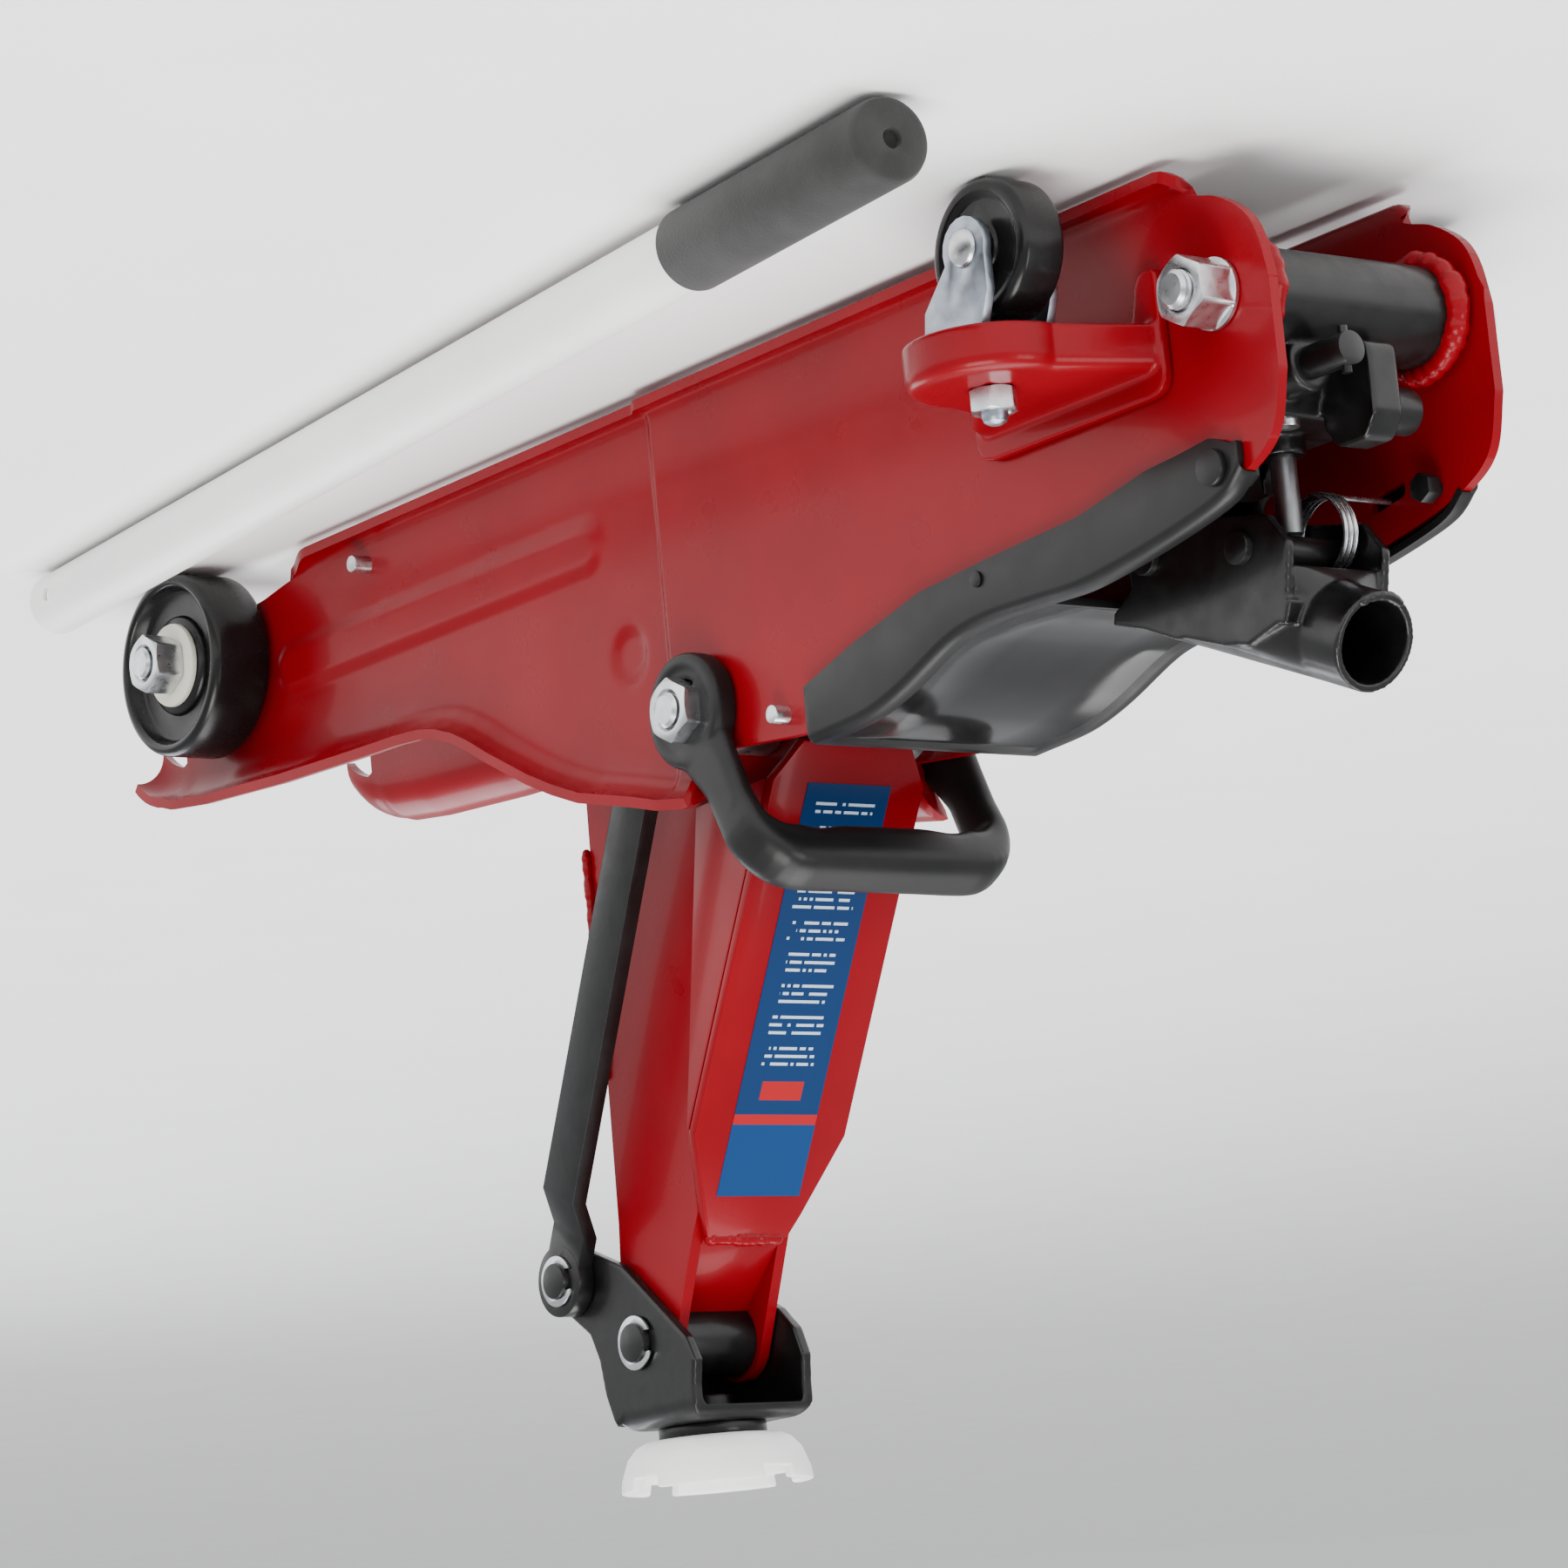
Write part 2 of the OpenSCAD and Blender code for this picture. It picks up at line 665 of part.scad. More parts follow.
module link_bar() {
    step_0 = link_len - 30; // where the sideways step starts and ends
    step_1 = link_len - 18;
    color(black) difference() {
        union() {
            link_frame() translate([0, 0, -link_w / 2]) linear_extrude(link_w) polygon([
                [0, -link_low_y], [step_0, -link_low_y],
                [step_1, -link_top_y], [link_len, -link_top_y],
                [link_len, -link_top_y - link_t], [step_1, -link_top_y - link_t],
                [step_0, -link_low_y - link_t], [0, -link_low_y - link_t]]);
            // eyes, a little proud of the bar
            along_y(link_low, 22, -link_low_y - link_t - 0.15, -link_low_y + 0.15);
            along_y(link_top, 24, -link_top_y - link_t - 0.15, -link_top_y + 0.15);
        }
        along_y(link_low, link_pin_d - 0.02 + 2 * run, -60, 0);
        along_y(link_top, link_pin_d - 0.02 + 2 * run, -60, 0);
    }
}

// Fixed in the plate from inside
module link_pivot_pin() { color(zinc) along_y(link_low, link_pin_d - 0.02, -web_i - 1.5, -31); }

// ---- ram ----

yoke_half_x = crank_d / 2 + 8.2; // half the yoke's length
yoke_slack = 1.2; // play each side of the crank pin in the yoke's slot

module ram_rod() {
    color(zinc) {
        along_x([0, ram_z], 24, -118, crank[0] + 0.7 - yoke_half_x);
        along_x([0, ram_z], 35.9, -118, -105);
    }
}

// Slotted end that the crank pin rides in
module ram_yoke() {
    slot_x = crank_d / 2 + yoke_slack;
    slot_z = crank_rise + crank_d / 2 + 0.8;
    yoke_z = slot_z + 7;
    color(dark) translate([crank[0] + 0.7, 0, ram_z]) difference() {
        translate([-yoke_half_x, -15, -yoke_z]) cube([2 * yoke_half_x, 30, 2 * yoke_z]);
        translate([-slot_x, -30, -slot_z]) cube([2 * slot_x, 60, 2 * slot_z]);
    }
}

// ---- handle socket and pump ----

mouth = [-264.5, 145.6];
socket_a = 24; // slope of the socket's tube
socket_len = 58;

// Frame at the socket's mouth: Z runs down into the tube
module socket_frame() {
    translate([mouth[0], 0, mouth[1]]) rotate([0, 90 + socket_a, 0]) children();
}

module handle_socket() {
    roof = [[-232, 147], [-217, 141], [-201, 131.5], [-188, 125.5], [-174, 121]];
    color(black) difference() {
        union() {
            socket_frame() cylinder(d = socket_bore + 5, h = socket_len + 2, $fn = 96);
            for (s = [0, 1]) side(s == 1) {
                // cheek that carries the pins
                profile_y(-20.5, -17.5) polygon(concat(roof, [[-175, 117.5], [-184, 112],
                    [-183, 103], [-188, 97.5], [-215, 97.5], [-246, 104], [-254, 114], [-250, 134]]));
                // web from the tube out to the cheek
                profile_y(-20.5, -10)
                    polygon([[-252, 131], [-249, 138], [-222, 126], [-225, 119]]);
            }
            // roof between the cheeks
            profile_y(-20.5, 20.5) polygon(concat(
                [for (i = [1:4]) roof[i]], [for (i = [4:-1:1]) roof[i] - [1, 3]]));
        }
        socket_frame() translate([0, 0, -20]) cylinder(d = socket_bore, h = socket_len + 20, $fn = 96);
        along_y(fulcrum, 9.98 + 2 * run, -60, 60);
        along_y(lever_pin, 10, -60, 60);
    }
}

// Pin that presses on the pump piston
module lever_roller() { color(zinc) along_y(lever_pin, 9.98, -23, 23); }

module pump_piston() {
    top_z = lever_pin[1] - 5 - 0.3;
    color(zinc) translate([pump_x, 0, 74]) cylinder(d = 8, h = top_z - 74);
}

// ---- carry handle ----

carry_eye = 38;
carry_bar = [-30, 166];
carry_outer = 54;

module carry_handle() {
    rear_edge = [[-17, 104], [-19, 113], [-24, 130], [-27, 140], [-31, 150], [-38, 158]];
    front_edge = [[-24, 174.5], [-17.5, 167], [-14.7, 155], [-7, 141], [-1, 132.5], [7, 128],
        [14, 122], [18, 112]];
    color(dark) difference() {
        union() {
            for (s = [0, 1]) side(s == 1) {
                along_y([0, pivot_z], carry_eye, -carry_outer, -rear_o - 1);
                profile_y(-carry_outer, -rear_o - 1) polygon(concat(rear_edge, front_edge));
                along_y(carry_bar, 20, -carry_outer + 2, -rear_o - 1);
            }
            along_y(carry_bar, 20, -rear_o - 2, rear_o + 2);
        }
        // bore on the shaft and recess round the nut
        along_y([0, pivot_z], shaft_d - 0.02 + 2 * run, -60, 60);
        for (s = [0, 1]) side(s == 1) along_y([0, pivot_z], 24, -60, -49.5);
    }
}

// ---- handle bar, lying on the floor ----

bar_end = [292.5, -107.2]; // free end
bar_turn = atan2(-59.8, -562.9); // direction from the free end to the grip
grip_len = 111;
bar_wall = 1.8;

// Frame along the bar: Z runs from the free end to the grip, resting on both
module bar_frame() {
    tilt = asin((grip_d - bar_d) / 2 / (bar_len - grip_len));
    translate([bar_end[0], bar_end[1], bar_d / 2 + 0.02]) rotate([0, 0, bar_turn])
        rotate([0, 90 - tilt, 0]) children();
}

module handle_tube() {
    color([0.93, 0.93, 0.93]) bar_frame() difference() {
        turned([[bar_d / 2 - bar_wall, 0], [bar_d / 2 - 0.6, 0], [bar_d / 2, 0.6],
            [bar_d / 2, bar_len - 3], [bar_d / 2 - bar_wall, bar_len - 3]]);
        translate([0, 0, 14]) rotate([90, 0, 0]) cylinder(d = 5, h = 60, center = true);
    }
}

module foam_grip() {
    color([0.22, 0.22, 0.22]) bar_frame() turned([[bar_d / 2, bar_len - grip_len],
        [grip_d / 2 - 0.6, bar_len - grip_len], [grip_d / 2, bar_len - grip_len + 0.6],
        [grip_d / 2, bar_len - 3], [grip_d / 2 - 0.8, bar_len - 0.8], [grip_d / 2 - 3, bar_len],
        [3, bar_len], [3, bar_len - 3], [bar_d / 2, bar_len - 3]]);
}

side_plate_right();
side_plate_left();
cross_tube();
rear_bolts();
pivot_shaft();
pivot_nuts();
pivot_spacers();
front_axle();
axle_nuts();
axle_washers();
axle_spacer();
tie_rod_upper();
tie_rod_lower();
caster_bracket_right();
caster_bracket_left();
pump_block();
ram_cylinder();
gland();
valve_plug();
oil_plug();
cover_bolts();
fulcrum_pin();
cover();
cover_rivets();
link_pivot_pin();
socket_spring();
lift_arm();
arm_back_plate();
arm_tube();
crank_pin();
arm_label();
saddle_bracket();
saddle_pin();
link_pin();
circlips();
saddle_boss();
saddle();
link_bar();
ram_rod();
ram_yoke();
front_wheel_right();
front_wheel_left();
caster_fork_right();
caster_fork_left();
caster_nut_right();
caster_nut_left();
caster_axle_right();
caster_axle_left();
caster_wheel_right();
caster_wheel_left();
handle_socket();
lever_roller();
pump_piston();
release_valve();
carry_handle();
handle_tube();
foam_grip();
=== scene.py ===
import json
import math

import bmesh
import bpy
import numpy as np
from mathutils import Matrix, Vector

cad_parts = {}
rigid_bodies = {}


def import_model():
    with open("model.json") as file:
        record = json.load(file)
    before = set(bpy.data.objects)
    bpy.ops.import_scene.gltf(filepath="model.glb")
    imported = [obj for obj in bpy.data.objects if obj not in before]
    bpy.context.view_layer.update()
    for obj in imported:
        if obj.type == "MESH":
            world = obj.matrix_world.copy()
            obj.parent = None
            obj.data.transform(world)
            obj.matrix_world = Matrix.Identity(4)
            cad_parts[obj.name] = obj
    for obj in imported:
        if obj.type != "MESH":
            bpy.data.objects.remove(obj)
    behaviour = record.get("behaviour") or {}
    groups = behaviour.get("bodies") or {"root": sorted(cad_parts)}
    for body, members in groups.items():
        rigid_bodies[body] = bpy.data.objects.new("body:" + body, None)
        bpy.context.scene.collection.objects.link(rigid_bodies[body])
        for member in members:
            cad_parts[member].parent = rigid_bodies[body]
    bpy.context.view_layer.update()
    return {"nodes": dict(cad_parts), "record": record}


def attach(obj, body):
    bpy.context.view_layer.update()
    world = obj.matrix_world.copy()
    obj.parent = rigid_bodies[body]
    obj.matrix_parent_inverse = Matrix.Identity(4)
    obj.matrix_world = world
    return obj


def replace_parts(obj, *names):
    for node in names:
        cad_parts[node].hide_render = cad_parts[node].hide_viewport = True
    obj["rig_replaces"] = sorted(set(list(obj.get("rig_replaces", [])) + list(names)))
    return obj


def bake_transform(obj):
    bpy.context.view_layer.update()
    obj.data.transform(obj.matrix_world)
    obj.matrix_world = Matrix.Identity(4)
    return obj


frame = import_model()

MM = 0.001
NODES = frame["nodes"]
BODY_OF = {n: b for b, ns in frame["record"]["behaviour"]["bodies"].items() for n in ns}
SLOT_OF = {s["node"]: s["material_slot"] for s in frame["record"]["subparts"]}

# ---- camera ---------------------------------------------------------------

YAW, PITCH, ROLL = math.radians(52.03), math.radians(10.62), math.radians(-5.37)
EYE = Vector((-1.4513, -1.1477, 0.4786))
LENS_MM = 132.7


def set_camera():
    """Looks along the yaw, down by the pitch. The camera is rolled half a turn, so up and right are reversed."""
    ahead = Vector((math.sin(YAW) * math.cos(PITCH), math.cos(YAW) * math.cos(PITCH), -math.sin(PITCH)))
    right = Vector((math.cos(YAW), -math.sin(YAW), 0))
    up = right.cross(ahead)
    right_rolled = math.cos(ROLL) * right + math.sin(ROLL) * up
    up_rolled = -math.sin(ROLL) * right + math.cos(ROLL) * up
    turn = Matrix((-right_rolled, -up_rolled, -ahead)).transposed()
    data = bpy.data.cameras.new("camera")
    data.lens = LENS_MM
    data.sensor_width = 36
    data.clip_end = 50
    camera = bpy.data.objects.new("camera", data)
    camera.matrix_world = Matrix.Translation(EYE) @ turn.to_4x4()
    bpy.context.scene.collection.objects.link(camera)
    bpy.context.scene.camera = camera


# ---- floor and lights -----------------------------------------------------

def set_stage():
    """A pale floor, a large soft key over the jack's right, a fill at each end and a wide top light."""
    bpy.ops.mesh.primitive_plane_add(size=12, location=(0, 0, -0.0005))
    floor = bpy.context.object
    floor.name = "floor"
    floor.data.materials.append(floor_paper())
    for name, place, aim, size, power, tint in [
        ("key", (-0.9, -1.2, 2.0), (0, 0, 0.1), 1.3, 62, "#FFFDF8"),
        ("front_fill", (2.3, 0.2, 1.3), (0.1, 0, 0.1), 1.2, 26, "#F6FAFF"),
        ("rear_fill", (-2.2, 0.3, 0.9), (-0.1, 0, 0.1), 0.9, 16, "#FFFFFF"),
        ("top", (0.1, 0.5, 2.4), (0, 0, 0), 1.8, 62, "#FFFFFF"),
    ]:
        data = bpy.data.lights.new(name, "AREA")
        data.shape = "SQUARE"
        data.size = size
        data.energy = power
        data.color = linear(tint)[:3]
        lamp = bpy.data.objects.new(name, data)
        lamp.location = place
        lamp.rotation_euler = (Vector(aim) - Vector(place)).to_track_quat("-Z", "Y").to_euler()
        bpy.context.scene.collection.objects.link(lamp)
    world = bpy.data.worlds.new("studio")
    bpy.context.scene.world = world
    world.use_nodes = True
    sky = world.node_tree.nodes["Background"]
    sky.inputs["Color"].default_value = linear("#F4F5F7")
    sky.inputs["Strength"].default_value = 0.8


# ---- materials ------------------------------------------------------------

def linear(code):
    """sRGB hex to linear RGBA."""
    parts = [int(code[i:i + 2], 16) / 255 for i in (1, 3, 5)]
    return tuple(c / 12.92 if c <= 0.04045 else ((c + 0.055) / 1.055) ** 2.4 for c in parts) + (1.0,)


def node(tree, kind, links=(), **settings):
    """Adds a node. Settings name its properties or sockets; links are (socket, source output)."""
    made = tree.nodes.new(kind)
    for name, value in settings.items():
        plain = name.rstrip("_")
        if hasattr(made, plain) and not name.endswith("_"):
            setattr(made, plain, value)
        else:
            made.inputs[plain.replace("_", " ")].default_value = value
    for socket, source in links:
        tree.links.new(source, made.inputs[socket])
    return made


def finish_named(name, color, **sockets):
    """A Principled material. Sockets that are the same all over are set on the shader itself."""
    material = bpy.data.materials.new(name)
    material.use_nodes = True
    tree = material.node_tree
    shader = tree.nodes["Principled BSDF"]
    shader.inputs["Base Color"].default_value = linear(color)
    for socket, value in sockets.items():
        shader.inputs[socket.replace("_", " ")].default_value = value
    return material, tree, shader


def per_metre(size_mm):
    """Noise scale that gives features of that many millimetres."""
    return 1000 / size_mm


def mottle(tree, shader, dark, light, size_mm, coords, detail=3.0):
    """Base colour that drifts between two close shades."""
    noise = node(tree, "ShaderNodeTexNoise", [("Vector", coords)], Scale_=per_metre(size_mm), Detail_=detail)
    ramp = node(tree, "ShaderNodeValToRGB", [("Fac", noise.outputs["Fac"])])
    ramp.color_ramp.elements[0].position, ramp.color_ramp.elements[1].position = 0.32, 0.68
    ramp.color_ramp.elements[0].color, ramp.color_ramp.elements[1].color = linear(dark), linear(light)
    tree.links.new(ramp.outputs["Color"], shader.inputs["Base Color"])


def vary_roughness(tree, shader, low, high, size_mm, coords):
    noise = node(tree, "ShaderNodeTexNoise", [("Vector", coords)], Scale_=per_metre(size_mm), Detail_=4.0)
    ramp = node(tree, "ShaderNodeMapRange", [("Value", noise.outputs["Fac"])],
                From_Min_=0.3, From_Max_=0.7, To_Min_=low, To_Max_=high)
    tree.links.new(ramp.outputs["Result"], shader.inputs["Roughness"])


def emboss(tree, shader, height, depth_mm, strength):
    bump = node(tree, "ShaderNodeBump", [("Height", height)], Distance_=depth_mm * MM, Strength_=strength)
    tree.links.new(bump.outputs["Normal"], shader.inputs["Normal"])


def place_of(tree):
    return node(tree, "ShaderNodeTexCoord").outputs["Object"]


def floor_paper():
    """Seamless studio paper: flat, pale, no sheen."""
    material, tree, shader = finish_named("seamless_paper", "#FBFBFB", Roughness=0.9, Specular_IOR_Level=0.1)
    coords = place_of(tree)
    mottle(tree, shader, "#FAFAFA", "#FDFDFD", 60, coords)
    return material


def powder_coat(name, dark, light, peel_mm=6.0, gloss=(0.26, 0.34)):
    """Powder coat on pressed steel: even colour, a clear skin and a slight orange peel."""
    material, tree, shader = finish_named(name, light, Coat_Weight=0.1, Coat_Roughness=0.08, IOR=1.45,
                                          Specular_IOR_Level=0.14)
    coords = place_of(tree)
    mottle(tree, shader, dark, light, 55, coords)
    vary_roughness(tree, shader, *gloss, 22, coords)
    peel = node(tree, "ShaderNodeTexNoise", [("Vector", coords)], Scale_=per_metre(peel_mm), Detail_=1.0)
    emboss(tree, shader, peel.outputs["Fac"], 0.02, 0.15)
    return material


def dipped_enamel(name, dark, light):
    """Black enamel dipped over castings and welds: thick, a little uneven, with small runs."""
    material, tree, shader = finish_named(name, light, Coat_Weight=0.2, Coat_Roughness=0.16, IOR=1.5,
                                          Specular_IOR_Level=0.3)
    coords = place_of(tree)
    mottle(tree, shader, dark, light, 18, coords)
    vary_roughness(tree, shader, 0.28, 0.5, 9, coords)
    runs = node(tree, "ShaderNodeTexNoise", [("Vector", coords)], Scale_=per_metre(4.5), Detail_=3.0)
    emboss(tree, shader, runs.outputs["Fac"], 0.18, 0.5)
    return material


def moulded_plastic(name, dark, light, rough, grain_mm=0.9, grain=0.4):
    """Injection-moulded polypropylene with a fine spark-eroded grain, drawn coarse enough to show."""
    material, tree, shader = finish_named(name, light, IOR=1.49, Specular_IOR_Level=0.3)
    coords = place_of(tree)
    mottle(tree, shader, dark, light, 30, coords)
    vary_roughness(tree, shader, rough - 0.05, rough + 0.05, 12, coords)
    cells = node(tree, "ShaderNodeTexNoise", [("Vector", coords)], Scale_=per_metre(grain_mm), Detail_=2.0)
    emboss(tree, shader, cells.outputs["Fac"], 0.04, grain)
    return material


def plated_steel(name, dark, light, rough, grain_mm=(1.2, 1.2, 1.2), depth=0.006):
    """Zinc plate over drawn or turned steel: bright metal with cloudy patches and fine tool marks."""
    material, tree, shader = finish_named(name, light, Metallic=1.0)
    coords = place_of(tree)
    mottle(tree, shader, dark, light, 7, coords, 5.0)
    vary_roughness(tree, shader, rough - 0.05, rough + 0.06, 3, coords)
    spread = node(tree, "ShaderNodeMapping", [("Vector", coords)],
                  Scale_=tuple(per_metre(g) for g in grain_mm))
    marks = node(tree, "ShaderNodeTexNoise", [("Vector", spread.outputs["Vector"])], Scale_=1.0, Detail_=3.0)
    emboss(tree, shader, marks.outputs["Fac"], depth, 0.15)
    return material


def closed_cell_foam():
    """Extruded closed-cell foam sleeve: dull, with fine open pores, drawn at 0.9 mm so that they show."""
    sheen = {"Specular_IOR_Level": 0.25, "Sheen_Weight": 0.15}
    material, tree, shader = finish_named("closed_cell_foam", "#2C2C2C", **sheen)
    coords = place_of(tree)
    mottle(tree, shader, "#252525", "#303030", 14, coords)
    shader.inputs["Roughness"].default_value = 0.85
    pores = node(tree, "ShaderNodeTexVoronoi", [("Vector", coords)], Scale_=per_metre(0.9))
    emboss(tree, shader, pores.outputs["Distance"], 0.12, 0.5)
    return material


def label_film():
    """Printed vinyl film: blue, a red band, a lighter head and rows of plain pale bars for small print."""
    material, tree, shader = finish_named("printed_vinyl", "#0B3D73", Specular_IOR_Level=0.3)
    shader.inputs["Roughness"].default_value = 0.32
    spread = node(tree, "ShaderNodeAttribute", attribute_name="label_place")
    split = node(tree, "ShaderNodeSeparateXYZ", [("Vector", spread.outputs["Vector"])])
    s_out, w_out = split.outputs["X"], split.outputs["Y"]

    def maths(kind, a, b):
        made = node(tree, "ShaderNodeMath", operation=kind)
        for i, value in enumerate((a, b)):
            if isinstance(value, (int, float)):
                made.inputs[i].default_value = value
            else:
                tree.links.new(value, made.inputs[i])
        return made.outputs[0]

    def between(value, low, high):
        return maths("MULTIPLY", maths("GREATER_THAN", value, low), maths("LESS_THAN", value, high))

    pitch, letter = 0.0027, 0.0012
    rows = maths("FRACT", maths("DIVIDE", s_out, pitch), 0)
    row_number = maths("FLOOR", maths("DIVIDE", s_out, pitch), 0)
    ragged = node(tree, "ShaderNodeTexWhiteNoise", noise_dimensions="1D")
    tree.links.new(row_number, ragged.inputs["W"])
    half = maths("ADD", maths("MULTIPLY", ragged.outputs["Value"], 0.004), 0.0085)
    wide = maths("LESS_THAN", maths("ABSOLUTE", w_out, 0), half)
    spot = node(tree, "ShaderNodeCombineXYZ")
    tree.links.new(row_number, spot.inputs["X"])
    tree.links.new(maths("FLOOR", maths("DIVIDE", w_out, letter), 0), spot.inputs["Y"])
    words = node(tree, "ShaderNodeTexWhiteNoise", noise_dimensions="2D")
    tree.links.new(spot.outputs["Vector"], words.inputs["Vector"])
    inked = maths("GREATER_THAN", words.outputs["Value"], 0.24)
    gaps = maths("GREATER_THAN", maths("FRACT", maths("DIVIDE", row_number, 4), 0), 0.1)
    bars = maths("MULTIPLY", between(rows, 0.36, 0.72), wide)
    bars = maths("MULTIPLY", bars, maths("MULTIPLY", gaps, inked))
    fine = maths("MULTIPLY", maths("MULTIPLY", bars, between(s_out, 0.006, 0.097)), 0.8)
    band = between(s_out, 0.1135, 0.1170)
    head = maths("MULTIPLY", between(s_out, 0.117, 0.142), 0.3)
    crest = maths("MULTIPLY", between(s_out, 0.102, 0.1085),
                  maths("LESS_THAN", maths("ABSOLUTE", w_out, 0), 0.0085))

    def over(base, color, amount):
        mixed = node(tree, "ShaderNodeMix", data_type="RGBA")
        tree.links.new(amount, mixed.inputs["Factor"])
        if isinstance(base, str):
            mixed.inputs[6].default_value = linear(base)
        else:
            tree.links.new(base, mixed.inputs[6])
        mixed.inputs[7].default_value = linear(color)
        return mixed.outputs[2]

    shade = over("#032A56", "#0A4684", head)
    shade = over(shade, "#9E0F18", band)
    shade = over(shade, "#9E0F18", crest)
    shade = over(shade, "#C9D8E6", fine)
    tree.links.new(shade, shader.inputs["Base Color"])
    return material


FINISH = {}


def make_finishes():
    FINISH["red_paint"] = powder_coat("red_powder_coat", "#76000E", "#820011")
    FINISH["black_paint"] = dipped_enamel("black_dipped_enamel", "#070708", "#0D0D0E")
    FINISH["black_plastic"] = moulded_plastic("black_polypropylene", "#101011", "#151516", 0.4)
    FINISH["polished_plastic"] = moulded_plastic(
        "polished_polypropylene", "#171718", "#1C1C1D", 0.16, 1.2, 0.08)
    FINISH["zinc"] = plated_steel("bright_zinc_plate", "#B9BCC0", "#D9DBDD", 0.3)
    FINISH["plated_fork"] = plated_steel("blue_passivated_zinc", "#8E97A2", "#B4BCC6", 0.36)
    FINISH["washer"] = moulded_plastic("pale_nylon", "#CFCDBF", "#DEDCD0", 0.5)
    # Near-white base colour for the parts in the white_paint slot: the blown-out glare of their bright zinc
    # plating is painted in as the parts' own colour, under a clear coat with a slight orange peel.
    FINISH["white_paint"] = powder_coat("zinc_glare_painted_white", "#EEEEED", "#F6F6F5", 5.0, (0.32, 0.42))
    FINISH["wheel"] = moulded_plastic("black_nylon_wheel", "#0A0A0B", "#111112", 0.27, 1.4, 0.2)
    FINISH["ground_steel"] = plated_steel("ground_steel", "#7B7C7F", "#8B8C8F", 0.42)
    FINISH["spring_steel"] = plated_steel("drawn_spring_wire", "#B4B6B9", "#CDCFD1", 0.26)
    FINISH["label"] = label_film()
    FINISH["foam"] = closed_cell_foam()


# ---- building tools -------------------------------------------------------

def baked(obj):
    """Turns the object's modifiers into plain mesh."""
    graph = bpy.context.evaluated_depsgraph_get()
    graph.update()
    mesh = bpy.data.meshes.new_from_object(obj.evaluated_get(graph))
    obj.modifiers.clear()
    obj.data = mesh
    return obj


def smoothed(obj, sharp_deg):
    obj.data.polygons.foreach_set("use_smooth", [True] * len(obj.data.polygons))
    obj.data.set_sharp_from_angle(angle=math.radians(sharp_deg))
    obj.data.update()


def keep(obj, body, replaces=()):
    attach(obj, body)
    if replaces:
        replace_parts(obj, *replaces)
    return obj


def raw_object(name, bm, finishes=()):
    mesh = bpy.data.meshes.new(name)
    bm.to_mesh(mesh)
    bm.free()
    obj = bpy.data.objects.new(name, mesh)
    bpy.context.scene.collection.objects.link(obj)
    for finish in finishes:
        mesh.materials.append(FINISH[finish])
    return obj


def ease_edges(obj, width_mm, over_deg):
    """Rounds the edges that are sharper than an angle."""
    edge = obj.modifiers.new("edge", "BEVEL")
    edge.width = width_mm * MM
    edge.segments = 2
    edge.limit_method = "ANGLE"
    edge.angle_limit = math.radians(over_deg)


def thicken(obj, sheet_mm):
    """Gives a surface its sheet thickness, inwards."""
    thick = obj.modifiers.new("sheet", "SOLIDIFY")
    thick.thickness = sheet_mm * MM
    thick.offset = -1


def melt_skin(obj, voxel_mm, rounds, factor=0.5):
    """Runs overlapping shapes together into one skin and softens it."""
    melt = obj.modifiers.new("melt", "REMESH")
    melt.mode = "VOXEL"
    melt.voxel_size = voxel_mm * MM
    ease = obj.modifiers.new("ease", "SMOOTH")
    ease.iterations = rounds
    ease.factor = factor
    baked(obj)


def from_bmesh(name, bm, finish, body, replaces=(), bevel_mm=0.0, sharp=38):
    """Cleans, closes and bevels a mesh, then gives it its finish and body."""
    bmesh.ops.remove_doubles(bm, verts=bm.verts, dist=2e-6)
    bmesh.ops.dissolve_degenerate(bm, edges=bm.edges, dist=1e-6)
    bmesh.ops.recalc_face_normals(bm, faces=bm.faces)
    obj = raw_object(name, bm, (finish,))
    if bevel_mm:
        ease_edges(obj, bevel_mm, 35)
        baked(obj)
    smoothed(obj, sharp)
    return keep(obj, body, replaces)


def cad_copy(name):
    """The CAD node's shape as a bmesh, with its triangles joined back into faces."""
    mesh = NODES[name].data
    part = bmesh.new()
    verts = [part.verts.new(v.co) for v in mesh.vertices]
    for p in mesh.polygons:
        try:
            part.faces.new([verts[i] for i in p.vertices])
        except ValueError:
            continue
    bmesh.ops.remove_doubles(part, verts=part.verts, dist=5e-6)
    spare = bpy.data.meshes.new("spare")
    part.to_mesh(spare)
    part.free()
    bm = bmesh.new()
    bm.from_mesh(spare)
    bpy.data.meshes.remove(spare)
    bmesh.ops.dissolve_limit(bm, angle_limit=math.radians(0.6), verts=bm.verts, edges=bm.edges)
    return bm


def dressed(name, finish, bevel_mm, sharp=38):
    """A CAD node with its edges eased."""
    return from_bmesh(name + "_finished", cad_copy(name), finish, BODY_OF[name], (name,), bevel_mm, sharp)


def cast_from(name, bm, finish, body, replaces, voxel_mm, rounds):
    """One skin with soft inside corners, as a casting, moulding or heavy weld has."""
    bmesh.ops.remove_doubles(bm, verts=bm.verts, dist=2e-6)
    obj = raw_object(name, bm, (finish,))
    melt_skin(obj, voxel_mm, rounds)
    if not obj.data.materials:
        obj.data.materials.append(FINISH[finish])
    smoothed(obj, 60)
    return keep(obj, body, replaces)


def add_loft(bm, rings, loop=False):
    """Skins rings of equal point counts. The ends are capped unless the last ring joins the first."""
    made = [[bm.verts.new(p) for p in ring] for ring in rings]
    n = len(made[0])
    last = len(made) if loop else len(made) - 1
    for k in range(last):
        a, b = made[k], made[(k + 1) % len(made)]
        for i in range(n):
            j = (i + 1) % n
            bm.faces.new((a[i], a[j], b[j], b[i]))
    if not loop:
        bm.faces.new(made[0])
        bm.faces.new(list(reversed(made[-1])))


